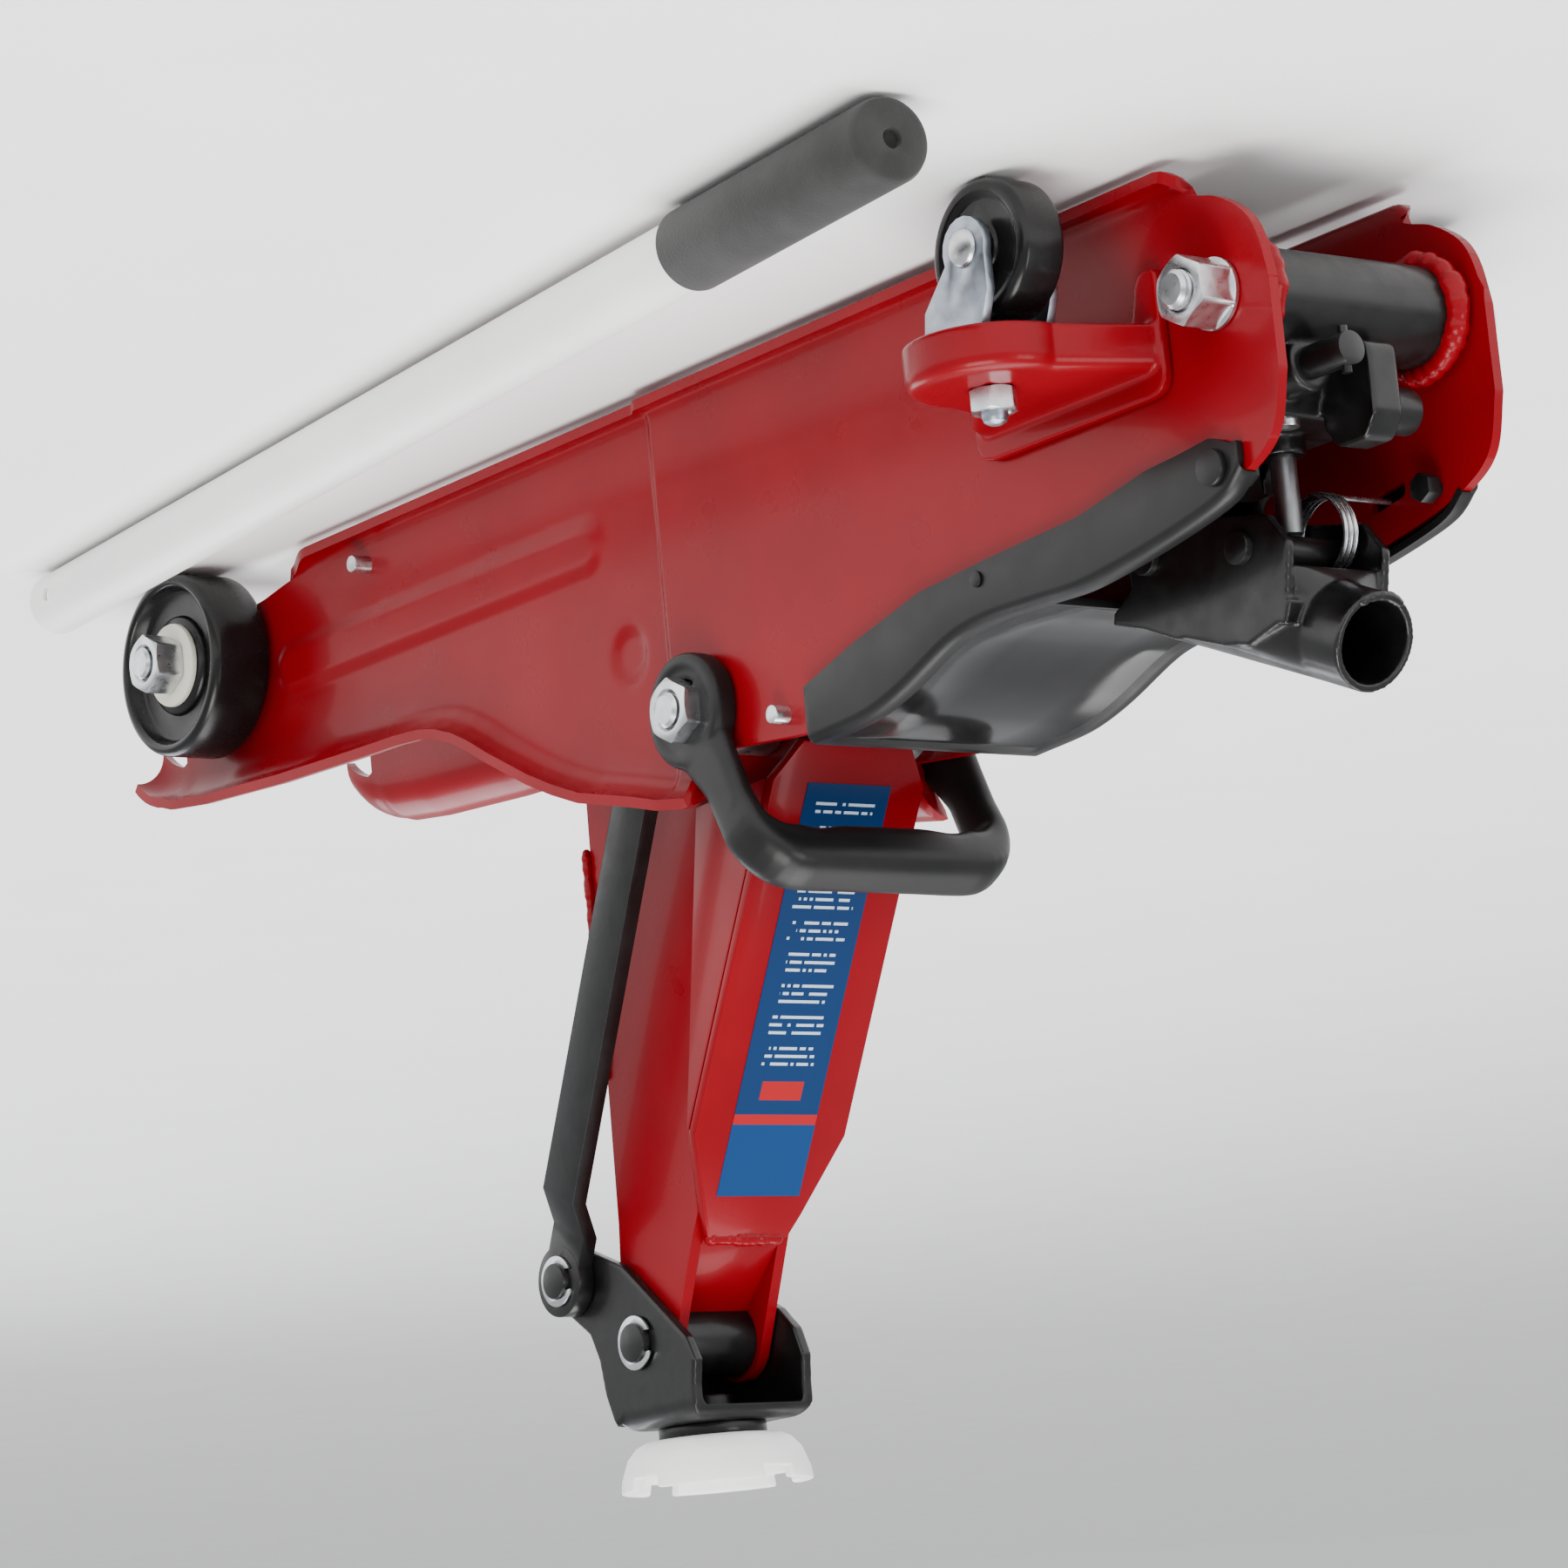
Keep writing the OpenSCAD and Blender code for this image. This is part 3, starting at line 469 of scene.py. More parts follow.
def add_prism(bm, outline, y0, y1):
    """Solid from an XZ outline in millimetres, between two Y planes."""
    add_loft(bm, [[Vector((x, y, z)) * MM for x, z in outline] for y in (y0, y1)])


def add_lathe(bm, profile, place, steps):
    """Revolves a closed [radius, height] profile in millimetres about the Z axis of a frame."""
    rings = []
    for k in range(steps):
        a = 2 * math.pi * k / steps
        rings.append([place @ (Vector((r * math.cos(a), r * math.sin(a), z)) * MM) for r, z in profile])
    add_loft(bm, rings, loop=True)


def rounded(points, radii, steps=5):
    """A closed outline with its corners rounded. radii is one number, or one for each point."""
    n = len(points)
    if isinstance(radii, (int, float)):
        radii = [radii] * n
    out = []
    for i, radius in enumerate(radii):
        p, q, r = (Vector(points[(i + k) % n]).to_2d() for k in (-1, 0, 1))
        a, b = (p - q), (r - q)
        if radius <= 0 or a.length < 1e-6 or b.length < 1e-6:
            out.append(tuple(q))
            continue
        turn = a.angle(b)
        back = min(radius / math.tan(turn / 2), a.length * 0.48, b.length * 0.48)
        a.normalize()
        b.normalize()
        start, end = q + a * back, q + b * back
        for k in range(steps + 1):
            t = k / steps
            out.append(tuple((1 - t) ** 2 * start + 2 * t * (1 - t) * q + t * t * end))
    return out


def curve_through(points, count):
    """Evenly sampled smooth path through points of any dimension."""
    pts = [np.array(p, float) for p in points]
    pts = [2 * pts[0] - pts[1]] + pts + [2 * pts[-1] - pts[-2]]
    dense = []
    for i in range(1, len(pts) - 2):
        a, b, c, d = pts[i - 1:i + 3]
        for k in range(16):
            t = k / 16
            dense.append(0.5 * (2 * b + (c - a) * t + (2 * a - 5 * b + 4 * c - d) * t * t
                                + (3 * b - a - 3 * c + d) * t ** 3))
    dense.append(pts[-2])
    steps = [0.0]
    for p, q in zip(dense, dense[1:]):
        steps.append(steps[-1] + float(np.linalg.norm(q - p)))
    wanted = np.linspace(0, steps[-1], count)
    dense = np.array(dense)
    return [np.array([np.interp(w, steps, dense[:, k]) for k in range(dense.shape[1])]) for w in wanted]


def add_tube(bm, path, radius_mm, sides):
    """Wire along a path in millimetres."""
    path = [Vector(p) for p in path]
    side = None
    rings = []
    for i, p in enumerate(path):
        ahead = (path[min(i + 1, len(path) - 1)] - path[max(i - 1, 0)]).normalized()
        if side is None:
            side = ahead.orthogonal().normalized()
        side = (side - ahead * side.dot(ahead)).normalized()
        other = ahead.cross(side)
        rings.append([(p + radius_mm * (math.cos(t) * side + math.sin(t) * other)) * MM
                      for t in (2 * math.pi * k / sides for k in range(sides))])
    add_loft(bm, rings)


def step(low, high, value):
    """Smooth step from 0 at low to 1 at high."""
    t = min(max((value - low) / (high - low), 0), 1)
    return t * t * (3 - 2 * t)


def along(table, value):
    """Looks value up in a list of (x, result) pairs."""
    return float(np.interp(value, [p[0] for p in table], [p[1] for p in table]))


def facing_y(x, y, z, left=False):
    """Frame at a point in millimetres whose Z axis runs out sideways from the jack."""
    out = Vector((0, 1 if left else -1, 0))
    up = Vector((0, 0, 1))
    turn = Matrix((up.cross(out), up, out)).transposed().to_4x4()
    return Matrix.Translation(Vector((x, y, z)) * MM) @ turn


def circle(x, z, r, steps):
    """Points of a circle, as (x, z)."""
    turns = [2 * math.pi * k / steps for k in range(steps)]
    return [(x + r * math.cos(a), z + r * math.sin(a)) for a in turns]


def upright(x, y, z):
    return Matrix.Translation(Vector((x, y, z)) * MM)



# ---- repeated things, made with geometry nodes ----------------------------

def tree_sockets(tree, **kinds):
    tree.interface.new_socket(name="Geometry", in_out="INPUT", socket_type="NodeSocketGeometry")
    tree.interface.new_socket(name="Geometry", in_out="OUTPUT", socket_type="NodeSocketGeometry")
    return {name: tree.interface.new_socket(name=name, in_out="INPUT", socket_type=kind).identifier
            for name, kind in kinds.items()}


def fastener_tree():
    """Puts one fastener on each point, turned by the point's 'turn'."""
    tree = bpy.data.node_groups.new("fasteners_on_points", "GeometryNodeTree")
    ids = tree_sockets(tree, Fastener="NodeSocketObject", Finish="NodeSocketMaterial")
    start = node(tree, "NodeGroupInput")
    info = node(tree, "GeometryNodeObjectInfo", [("Object", start.outputs["Fastener"])])
    turn = node(tree, "GeometryNodeInputNamedAttribute", data_type="FLOAT_VECTOR", Name_="turn")
    spin = node(tree, "FunctionNodeEulerToRotation", [("Euler", turn.outputs["Attribute"])])
    put = node(tree, "GeometryNodeInstanceOnPoints", [
        ("Points", start.outputs["Geometry"]), ("Instance", info.outputs["Geometry"]),
        ("Rotation", spin.outputs["Rotation"])])
    real = node(tree, "GeometryNodeRealizeInstances", [("Geometry", put.outputs["Instances"])])
    paint = node(tree, "GeometryNodeSetMaterial", [
        ("Geometry", real.outputs["Geometry"]), ("Material", start.outputs["Finish"])])
    node(tree, "NodeGroupOutput", [("Geometry", paint.outputs["Geometry"])])
    return tree, ids


def weld_tree():
    """Lays overlapping drops of weld along a line, a little uneven in size."""
    tree = bpy.data.node_groups.new("weld_ripples", "GeometryNodeTree")
    ids = tree_sockets(tree, Spacing="NodeSocketFloat", Radius="NodeSocketFloat", Seed="NodeSocketInt")
    start = node(tree, "NodeGroupInput")
    line = node(tree, "GeometryNodeMeshToCurve", [("Mesh", start.outputs["Geometry"])])
    drops = node(tree, "GeometryNodeResampleCurve", [
        ("Curve", line.outputs["Curve"]), ("Length", start.outputs["Spacing"])], mode="LENGTH")
    drop = node(tree, "GeometryNodeMeshUVSphere", [("Radius", start.outputs["Radius"])],
                Segments_=14, Rings_=8)
    size = node(tree, "FunctionNodeRandomValue", [("Seed", start.outputs["Seed"])], data_type="FLOAT")
    size.inputs[2].default_value, size.inputs[3].default_value = 0.82, 1.15
    put = node(tree, "GeometryNodeInstanceOnPoints", [
        ("Points", drops.outputs["Curve"]), ("Instance", drop.outputs["Mesh"]),
        ("Scale", size.outputs[1])])
    real = node(tree, "GeometryNodeRealizeInstances", [("Geometry", put.outputs["Instances"])])
    paint = node(tree, "GeometryNodeSetMaterial", [("Geometry", real.outputs["Geometry"])])
    node(tree, "NodeGroupOutput", [("Geometry", paint.outputs["Geometry"])])
    return tree, ids


def run_tree(obj, tree, values):
    grow = obj.modifiers.new("grow", "NODES")
    grow.node_group = tree
    for identifier, value in values.items():
        grow[identifier] = value
    return baked(obj)


def weld(name, body, finish, path, radius_mm=2.0, seed=1, closed=False):
    """A weld bead along a path in millimetres, melted into one skin."""
    bm = bmesh.new()
    verts = [bm.verts.new(Vector(p) * MM) for p in path]
    pairs = list(zip(verts, verts[1:])) + ([(verts[-1], verts[0])] if closed else [])
    for a, b in pairs:
        bm.edges.new((a, b))
    obj = raw_object(name, bm)
    ids = WELD[1]
    sizes = {ids["Spacing"]: radius_mm * 0.5 * MM, ids["Radius"]: radius_mm * MM}
    run_tree(obj, WELD[0], {**sizes, ids["Seed"]: seed})
    melt_skin(obj, 0.55, 5)
    obj.data.materials.clear()
    obj.data.materials.append(FINISH[finish])
    smoothed(obj, 70)
    return keep(obj, body)


def fasteners(name, body, finish, part, places, replaces=()):
    """places: (position in millimetres, euler turn) for each copy of the part."""
    bm = bmesh.new()
    for position, _ in places:
        bm.verts.new(Vector(position) * MM)
    obj = raw_object(name, bm)
    layer = obj.data.attributes.new("turn", "FLOAT_VECTOR", "POINT")
    layer.data.foreach_set("vector", [c for _, turn in places for c in turn])
    ids = FASTEN[1]
    run_tree(obj, FASTEN[0], {ids["Fastener"]: part, ids["Finish"]: FINISH[finish]})
    smoothed(obj, 32)
    return keep(obj, body, replaces)


def hidden_part(name, bm):
    """A source shape for copies. It is removed once they are made."""
    bmesh.ops.remove_doubles(bm, verts=bm.verts, dist=2e-6)
    bmesh.ops.recalc_face_normals(bm, faces=bm.faces)
    return raw_object(name, bm)


def hex_nut(name, flats, height, bore, collar=0.0, collar_d=0.0):
    """Hexagon nut with chamfered ends, and a round collar under it if it has one. Its base is at z = 0."""
    bm = bmesh.new()
    steps = 96
    chamfer_r = flats / 2 * 0.985  # where the chamfer cone meets the end face
    slope = math.tan(math.radians(28))

    def side(a):
        off_flat = (math.degrees(a) + 30) % 60 - 30
        return flats / 2 / math.cos(math.radians(off_flat))

    rings = []
    for k in range(steps):
        a = 2 * math.pi * (k + 0.5) / steps
        r = side(a)
        drop = max(r - chamfer_r, 0) * slope
        profile = [(bore / 2, 0)]
        if collar_d:
            rim = collar_d / 2
            profile += [(rim - 0.5, 0), (rim, 0.4), (rim, collar), (r, collar + 0.3)]
        else:
            profile += [(chamfer_r, 0), (r, drop)]
        profile += [(r, height - drop), (chamfer_r, height)]
        profile += [(bore / 2 + 0.9, height), (bore / 2, height - 0.8)]
        rings.append([Vector((p * math.cos(a), p * math.sin(a), z)) * MM for p, z in profile])
    add_loft(bm, rings, loop=True)
    return hidden_part(name, bm)


# ---- pressed side plates --------------------------------------------------

# Lengths are in millimetres, places as (x, z)
PIVOT, REAR_TUBE, AXLE = (0, 111), (-261, 44), (284.5, 33)
WEB_Y, REAR_Y, SHEET = 42.0, 44.5, 3.5  # outer faces of the front and rear webs, and the sheet
LIP_R = 12.0
KING_X, KING_Y = -203.6, 83.4  # caster kingpin, and its distance from the centre plane
WEB_END = 318  # front end of the web; the lip runs on past it
LIP_STEPS = 10
APART = 0.001  # keeps folded points from falling together
LIP_TOP = [(3, 139), (18, 136.5), (32, 132.5), (46, 129), (60, 125.5), (74, 120), (88, 113.5), (100, 107),
           (111, 101), (121, 95), (130, 90.5), (140, 87), (150, 85), (165, 84), (190, 83.5), (240, 82),
           (290, 79), (312, 76.5), (326, 72), (334, 66)]
WEB_TOP = [(-284, 71), (-279, 88), (-268, 96.5), (-250, 102), (-218, 108), (-190, 111), (-140, 111.5),
           (-125, 114), (-105, 121), (-80, 126.5), (-58, 129), (-20, 126), (3, 123.7)]
WEB_LOW = [(-284, 45), (-281, 31.5), (-276, 23), (-266, 16), (-257, 13), (-250, 10), (236, 10), (246, 11.5),
           (258, 13.5), (290, 16), (306, 24), (316, 38), (319, 50), (318, 60)]


def web_offset(x, z):
    """How far the pressed web stands from the centre plane."""
    step_edge, dimple, rib_from, rib_to, rib_z = (15.5, 20.5), (41, 83), 60, 243, 42
    y = WEB_Y + (REAR_Y - WEB_Y) * (1 - step(*step_edge, x))
    from_dimple = math.hypot(x - dimple[0], z - dimple[1])
    y -= 1.3 * (1 - step(6.5, 10.5, from_dimple))
    from_rib = math.hypot(max(rib_from - x, 0, x - rib_to), z - rib_z)
    y += 1.5 * (1 - step(5.0, 11.0, from_rib))
    return y


def lip_curl(x, top_z, side, root_y):
    """Points across the curled lip at one station, from the web's top to the lip's outer edge."""
    centre = WEB_Y + LIP_R
    out = []
    for k in range(LIP_STEPS + 1):
        a = math.radians(90 * k / LIP_STEPS)
        y = centre - (centre - root_y) * math.cos(a)
        out.append((x, side * y, top_z - LIP_R + LIP_R * math.sin(a)))
    return out


def side_plate(name, left):
    """Pressed plate: a web with a proud rear half, a curled top lip and a flat foot turned outwards."""
    side = 1 if left else -1
    bm = bmesh.new()
    low = curve_through(WEB_LOW[:6], 60) + WEB_LOW[6:]
    top = curve_through(WEB_TOP, 160) + [(x, z - LIP_R - SHEET) for x, z in LIP_TOP[1:] if x < WEB_END]
    rear_x, round_to, lip_from, step_xs = -283.9, -262, 3, [15, 16, 17, 18, 19, 20, 21]
    fine = list(np.arange(rear_x, round_to, 0.8))
    coarse = list(np.arange(round_to, WEB_END, 2.0))
    xs = sorted(set(fine + coarse + [lip_from, WEB_END] + step_xs))
    rows = 46
    columns = []
    for x in xs:
        z0, z1 = along(low, x), along(top, x)
        column = []
        foot = step(-252, -247, x) * (1 - step(220, 240, x))
        reach, drop = 4.5 * foot, 3.0 * foot
        base = web_offset(x, z0 + 4)
        for t in (1.0, 0.66, 0.33):
            y = base + 1.5 * foot + reach * t + APART * t
            column.append((x, side * y, z0 - drop + APART * (1 - t)))
        for k in (0, 30, 60):
            a = math.radians(k)
            y = base + 1.6 * foot * (1 - math.sin(a))
            column.append((x, side * y, z0 - drop + (drop + 0.6) * (1 - math.cos(a))))
        for k in range(rows + 1):
            z = z0 + 0.8 + (z1 - z0 - 0.8) * k / rows
            column.append((x, side * web_offset(x, z), z))
        if x >= lip_from:
            column += lip_curl(x, along(LIP_TOP, x), side, web_offset(x, z1))[1:]
        else:
            column += [(x, side * web_offset(x, z1), z1)] * LIP_STEPS
        columns.append([bm.verts.new((x * MM, y * MM, z * MM)) for x, y, z in column])
    for a, b in zip(columns, columns[1:]):
        for i in range(len(a) - 1):
            bm.faces.new((a[i], b[i], b[i + 1], a[i + 1]))
    nose = [(WEB_END, 75), (326, 72), (331, 68.8), (334, 66)]
    strips = [columns[-1][-LIP_STEPS - 1:]]
    for x, top_z in curve_through(nose, 8)[1:]:
        curl = lip_curl(x, top_z, side, WEB_Y)
        strips.append([bm.verts.new((x * MM, y * MM, z * MM)) for x, y, z in curl])
    for a, b in zip(strips, strips[1:]):
        for i in range(LIP_STEPS):
            bm.faces.new((a[i], b[i], b[i + 1], a[i + 1]))
    bmesh.ops.remove_doubles(bm, verts=bm.verts, dist=8e-5)
    bmesh.ops.dissolve_degenerate(bm, edges=bm.edges, dist=1e-5)
    bmesh.ops.recalc_face_normals(bm, faces=bm.faces)
    flip = [f for f in bm.faces if abs(f.normal.y) > 0.9 and f.normal.y * side < 0]
    if len(flip) > len(bm.faces) / 4:
        bmesh.ops.reverse_faces(bm, faces=bm.faces)
    obj = raw_object(name, bm, ("red_paint",))
    thicken(obj, SHEET)
    for centre, r in ((REAR_TUBE, 6), (PIVOT, 10), (AXLE, 6)):
        cutter(obj, prism_tool("hole_tool", circle(*centre, r, 48), side * 36, side * 60))
    slot = rounded([(-242, 88), (-226, 91), (-226, 96), (-242, 93)], 2.4)
    cutter(obj, prism_tool("slot_tool", slot, side * 30, side * 60))
    ease_edges(obj, 0.7, 50)
    baked(obj)
    smoothed(obj, 45)
    return keep(obj, "chassis", (name.replace("pressed_", ""),))


TOOLS = []


def prism_tool(name, outline, y0, y1):
    bm = bmesh.new()
    add_prism(bm, outline, y0, y1)
    return hidden_part(name, bm)


def cutter(obj, tool):
    cut = obj.modifiers.new("cut", "BOOLEAN")
    cut.object = tool
    cut.solver = "EXACT"
    TOOLS.append(tool)


def clear_tools():
    for tool in TOOLS:
        bpy.data.objects.remove(tool)
    TOOLS.clear()


# ---- cover ----------------------------------------------------------------

COVER_TOP = [
    (-266, 98), (-258, 104), (-242, 108.2), (-216, 112.6), (-192, 115.3), (-172, 115), (-150, 114.6),
    (-136, 115.8), (-125, 118.5), (-106, 125.8), (-92, 130), (-80, 132), (-56, 133.5)]
COVER_LOW = [
    (-263, 89), (-255, 85.5), (-241, 87), (-226, 88), (-194, 94), (-150, 96.5), (-117, 99),
    (-83, 107), (-53.5, 116)]


def cover():
    """Moulded cover: a glossy sunk panel in a rounded rim, skirts down both sides, two rails at the rear."""
    bm = bmesh.new()
    top = curve_through(COVER_TOP, 110)
    outer, edge_r, wall, rim = 47.6, 3.2, 2.4, 40.0

    def section(x, z, low):
        pts = [(-outer, low), (-outer, (low + z) / 2)]
        for k in range(6):
            a = math.radians(90 * k / 5)
            pts.append((-outer + edge_r - edge_r * math.cos(a), z - edge_r + edge_r * math.sin(a)))
        return pts

    rings = []
    for x, z in top:
        low = min(along(COVER_LOW, x), z - 4.5)
        half = section(x, z, low)
        floor = z - 1.2 * step(-171, -167, x) * (1 - step(-63, -59, x))
        half += [(-rim - 0.7, z), (-rim + 0.5, floor), (-20, floor), (-1, floor)]
        rings.append([(x, y, h) for y, h in half + [(-y, h) for y, h in reversed(half)]])
    made = [[bm.verts.new(Vector(p) * MM) for p in ring] for ring in rings]
    n = len(made[0])
    for k, (a, b) in enumerate(zip(made, made[1:])):
        for i in range(n - 1):
            x = (rings[k][0][0] + rings[k + 1][0][0]) / 2
            y = max(abs(rings[k][i][1]), abs(rings[k][i + 1][1]))
            if x < -172 and y < 41:
                continue
            face = bm.faces.new((a[i], b[i], b[i + 1], a[i + 1]))
            face.material_index = 1 if (-168 < x < -62 and y < rim) else 0
    bmesh.ops.recalc_face_normals(bm, faces=bm.faces)
    up = sum(f.normal.z for f in bm.faces)
    if up < 0:
        bmesh.ops.reverse_faces(bm, faces=bm.faces)
    loose = [v for v in bm.verts if not v.link_faces]
    bmesh.ops.delete(bm, geom=loose, context="VERTS")
    obj = raw_object("moulded_cover", bm, ("black_plastic", "polished_plastic"))
    thicken(obj, wall)
    ease_edges(obj, 0.6, 50)
    baked(obj)
    smoothed(obj, 50)
    keep(obj, "chassis", ("cover",))


# ---- turned and threaded pieces -------------------------------------------

M12_R, M12_PITCH = 5.95, 1.75


def threaded(y_from, y_to, radius, pitch):
    """Half outline of a threaded length, as [radius, height] steps."""
    out = []
    turns = int((y_to - y_from) / pitch)
    for k in range(turns):
        h = y_from + k * pitch
        root = radius - 0.42 * pitch
        out += [(radius, h + 0.1 * pitch), (radius, h + 0.35 * pitch)]
        out += [(root, h + 0.62 * pitch), (root, h + 0.85 * pitch)]
    return out


def stud(name, place, half, thread_from, replaces):
    """Bar across the jack with a thread cut on each end and a chamfer at the tips."""
    bm = bmesh.new()
    end = threaded(thread_from, half - 1.2, M12_R, M12_PITCH)
    right = [(0.01, half), (M12_R - 1.3, half), (M12_R - 0.2, half - 1.1)] + list(reversed(end))
    left = [(r, -h) for r, h in reversed(right)]
    add_lathe(bm, right + left, facing_y(place[0], 0, place[1]), 48)
    return from_bmesh(name, bm, "zinc", "chassis", replaces, 0, 30)


def nut_pair(place, y):
    """Places for a nut on each side of the jack, with their bases at a distance from the centre plane."""
    x, z = place
    return [((x, -y, z), (math.pi / 2, 0, 0)), ((x, y, z), (-math.pi / 2, 0, 0))]


def place_nuts():
    thick = hex_nut("nut_m12", 18.8, 10.0, 12.1)
    tall = hex_nut("nut_m12_flanged", 18.8, 14.3, 12.1, 1.6, 21.5)
    axle = hex_nut("nut_m12_axle", 18.8, 11.2, 12.1)
    small = hex_nut("nut_m8", 12.9, 7.0, 8.1)
    fasteners("nuts_pivot", "chassis", "zinc", thick, nut_pair(PIVOT, 49.6), ("pivot_nuts",))
    fasteners("nuts_rear", "chassis", "zinc", tall, nut_pair(REAR_TUBE, 44.6))
    fasteners("nuts_axle", "chassis", "zinc", axle, nut_pair(AXLE, 67.2), ("axle_nuts",))
    for side, y in (("right", -KING_Y), ("left", KING_Y)):
        node_name = "caster_nut_" + side
        fasteners("nut_caster_" + side, BODY_OF[node_name], "zinc", small,
                  [((KING_X, y, 60.6), (0, 0, 0.3))], (node_name,))
    TOOLS.extend((thick, tall, axle, small))
    stud("rear_stud", REAR_TUBE, 62, 44.5, ("rear_bolts",))
    stud("axle_stud", AXLE, 80, 67, ("front_axle",))
    bm = bmesh.new()
    end = threaded(50, 59.8, M12_R, M12_PITCH)
    half = [(0.01, 61), (4.6, 61), (5.75, 59.9)] + list(reversed(end)) + [(9.3, 49.5), (9.95, 48.8)]
    add_lathe(bm, half + [(r, -h) for r, h in reversed(half)], facing_y(PIVOT[0], 0, PIVOT[1]), 64)
    from_bmesh("pivot_stud", bm, "zinc", "chassis", ("pivot_shaft",), 0, 30)


def front_wheel(side):
    """Cast wheel: a flat tread with rounded shoulders and a stepped recess round its hub."""
    bm = bmesh.new()
    half = [(6.2, 0), (6.2, 8.3), (17, 8.3), (17.8, 7.6), (18.2, 6.2), (26, 5.6), (27.6, 6.6), (28.3, 10.6),
            (29, 11.7), (30.2, 12), (31.6, 11.6), (32.6, 10.4), (33, 9), (33, 3), (33, 0)]
    ring = half + [(r, -h) for r, h in reversed(half[1:-1])]
    name = "front_wheel_" + side
    middle_y = -56.4 if side == "right" else 56.4
    add_lathe(bm, ring, facing_y(AXLE[0], middle_y, AXLE[1], side == "left"), 128)
    from_bmesh("cast_" + name, bm, "wheel", BODY_OF[name], (name,), 0, 50)


def lined_up(ring, last):
    """The ring's points in the order, either way round, that lies nearest to the ring before it."""
    n = len(ring)
    orders = []
    for way in (ring, list(reversed(ring))):
        orders += [[way[(i + s) % n] for i in range(n)] for s in range(n)]
    return min(orders, key=lambda order: sum((p - q).length for p, q in zip(order, last)))


def carry_handle():
    """Moulded carry handle: flat legs that bend into a round bar, with two finger scallops under it."""
    bm = bmesh.new()
    legs = [(-12, 12, 104), (-16.5, 15.5, 118), (-21, 4.5, 130), (-25.5, -6, 141)]  # rear x, front x, z
    leg_y, leg_half, bar_half, bend = 49.7, 4.3, 9.7, 15.0
    bar = Vector((-27.5, 0, 163.5))
    rise, flat = Vector((-0.48, 0, 0.877)), Vector((0.877, 0, 0.48))  # along the leg and across it

    def ring(centre, across, up, half_a, half_b):
        made = []
        for k in range(28):
            a = 2 * math.pi * k / 28
            c, s = math.cos(a), math.sin(a)
            made.append(centre + across * half_a * math.copysign(abs(c) ** 0.75, c)
                        + up * half_b * math.copysign(abs(s) ** 0.75, s))
        return made

    ends = []
    for side in (-1, 1):
        part = []
        for rear, front, z in legs:
            centre = Vector(((rear + front) / 2, side * leg_y, z))
            part.append(ring(centre, Vector((1, 0, 0)), Vector((0, side, 0)), (front - rear) / 2, leg_half))
        for k in range(1, 9):
            a = math.radians(90 * k / 8)
            y = leg_y - bend + bend * math.cos(a)
            centre = bar + Vector((0, side * y, 0)) - rise * (bend - bend * math.sin(a))
            up = Vector((0, side * math.cos(a), 0)) + rise * math.sin(a)
            grow = step(0, 1, k / 8)
            part.append(ring(centre, flat, up, 9.5 + 0.5 * grow, leg_half + 5.4 * grow))
        ends.append(part)
    middle = []
    straight = leg_y - bend
    for k in range(1, 40):
        y = -straight + 2 * straight * k / 40
        scallop = 0.8 * math.exp(-((abs(y) - 27) / 7.0) ** 2)
        middle.append(ring(bar + Vector((0, y, 0)) + rise * scallop, flat, rise, 10, bar_half - scallop))
    chain = []
    for r in ends[0] + middle + list(reversed(ends[1])):
        chain.append(lined_up(r, chain[-1]) if chain else r)
    add_loft(bm, [[p * MM for p in r] for r in chain])
    eye = [(10.1, 45.6), (19, 45.6), (19, 52.6), (17.6, 54), (14.6, 54), (13.8, 53.2), (10.1, 53.2)]
    rib = rounded([(-12, 122), (-18.5, 131), (-24, 146), (-19.5, 148), (-12, 136), (-3, 127)], 3)
    for side in (-1, 1):
        add_lathe(bm, eye, facing_y(PIVOT[0], 0, PIVOT[1], side > 0), 72)
        add_prism(bm, rib, side * 52, side * 54.0)
    cast_from("moulded_carry_handle", bm, "black_plastic",
              BODY_OF["carry_handle"], ("carry_handle",), 0.8, 10)


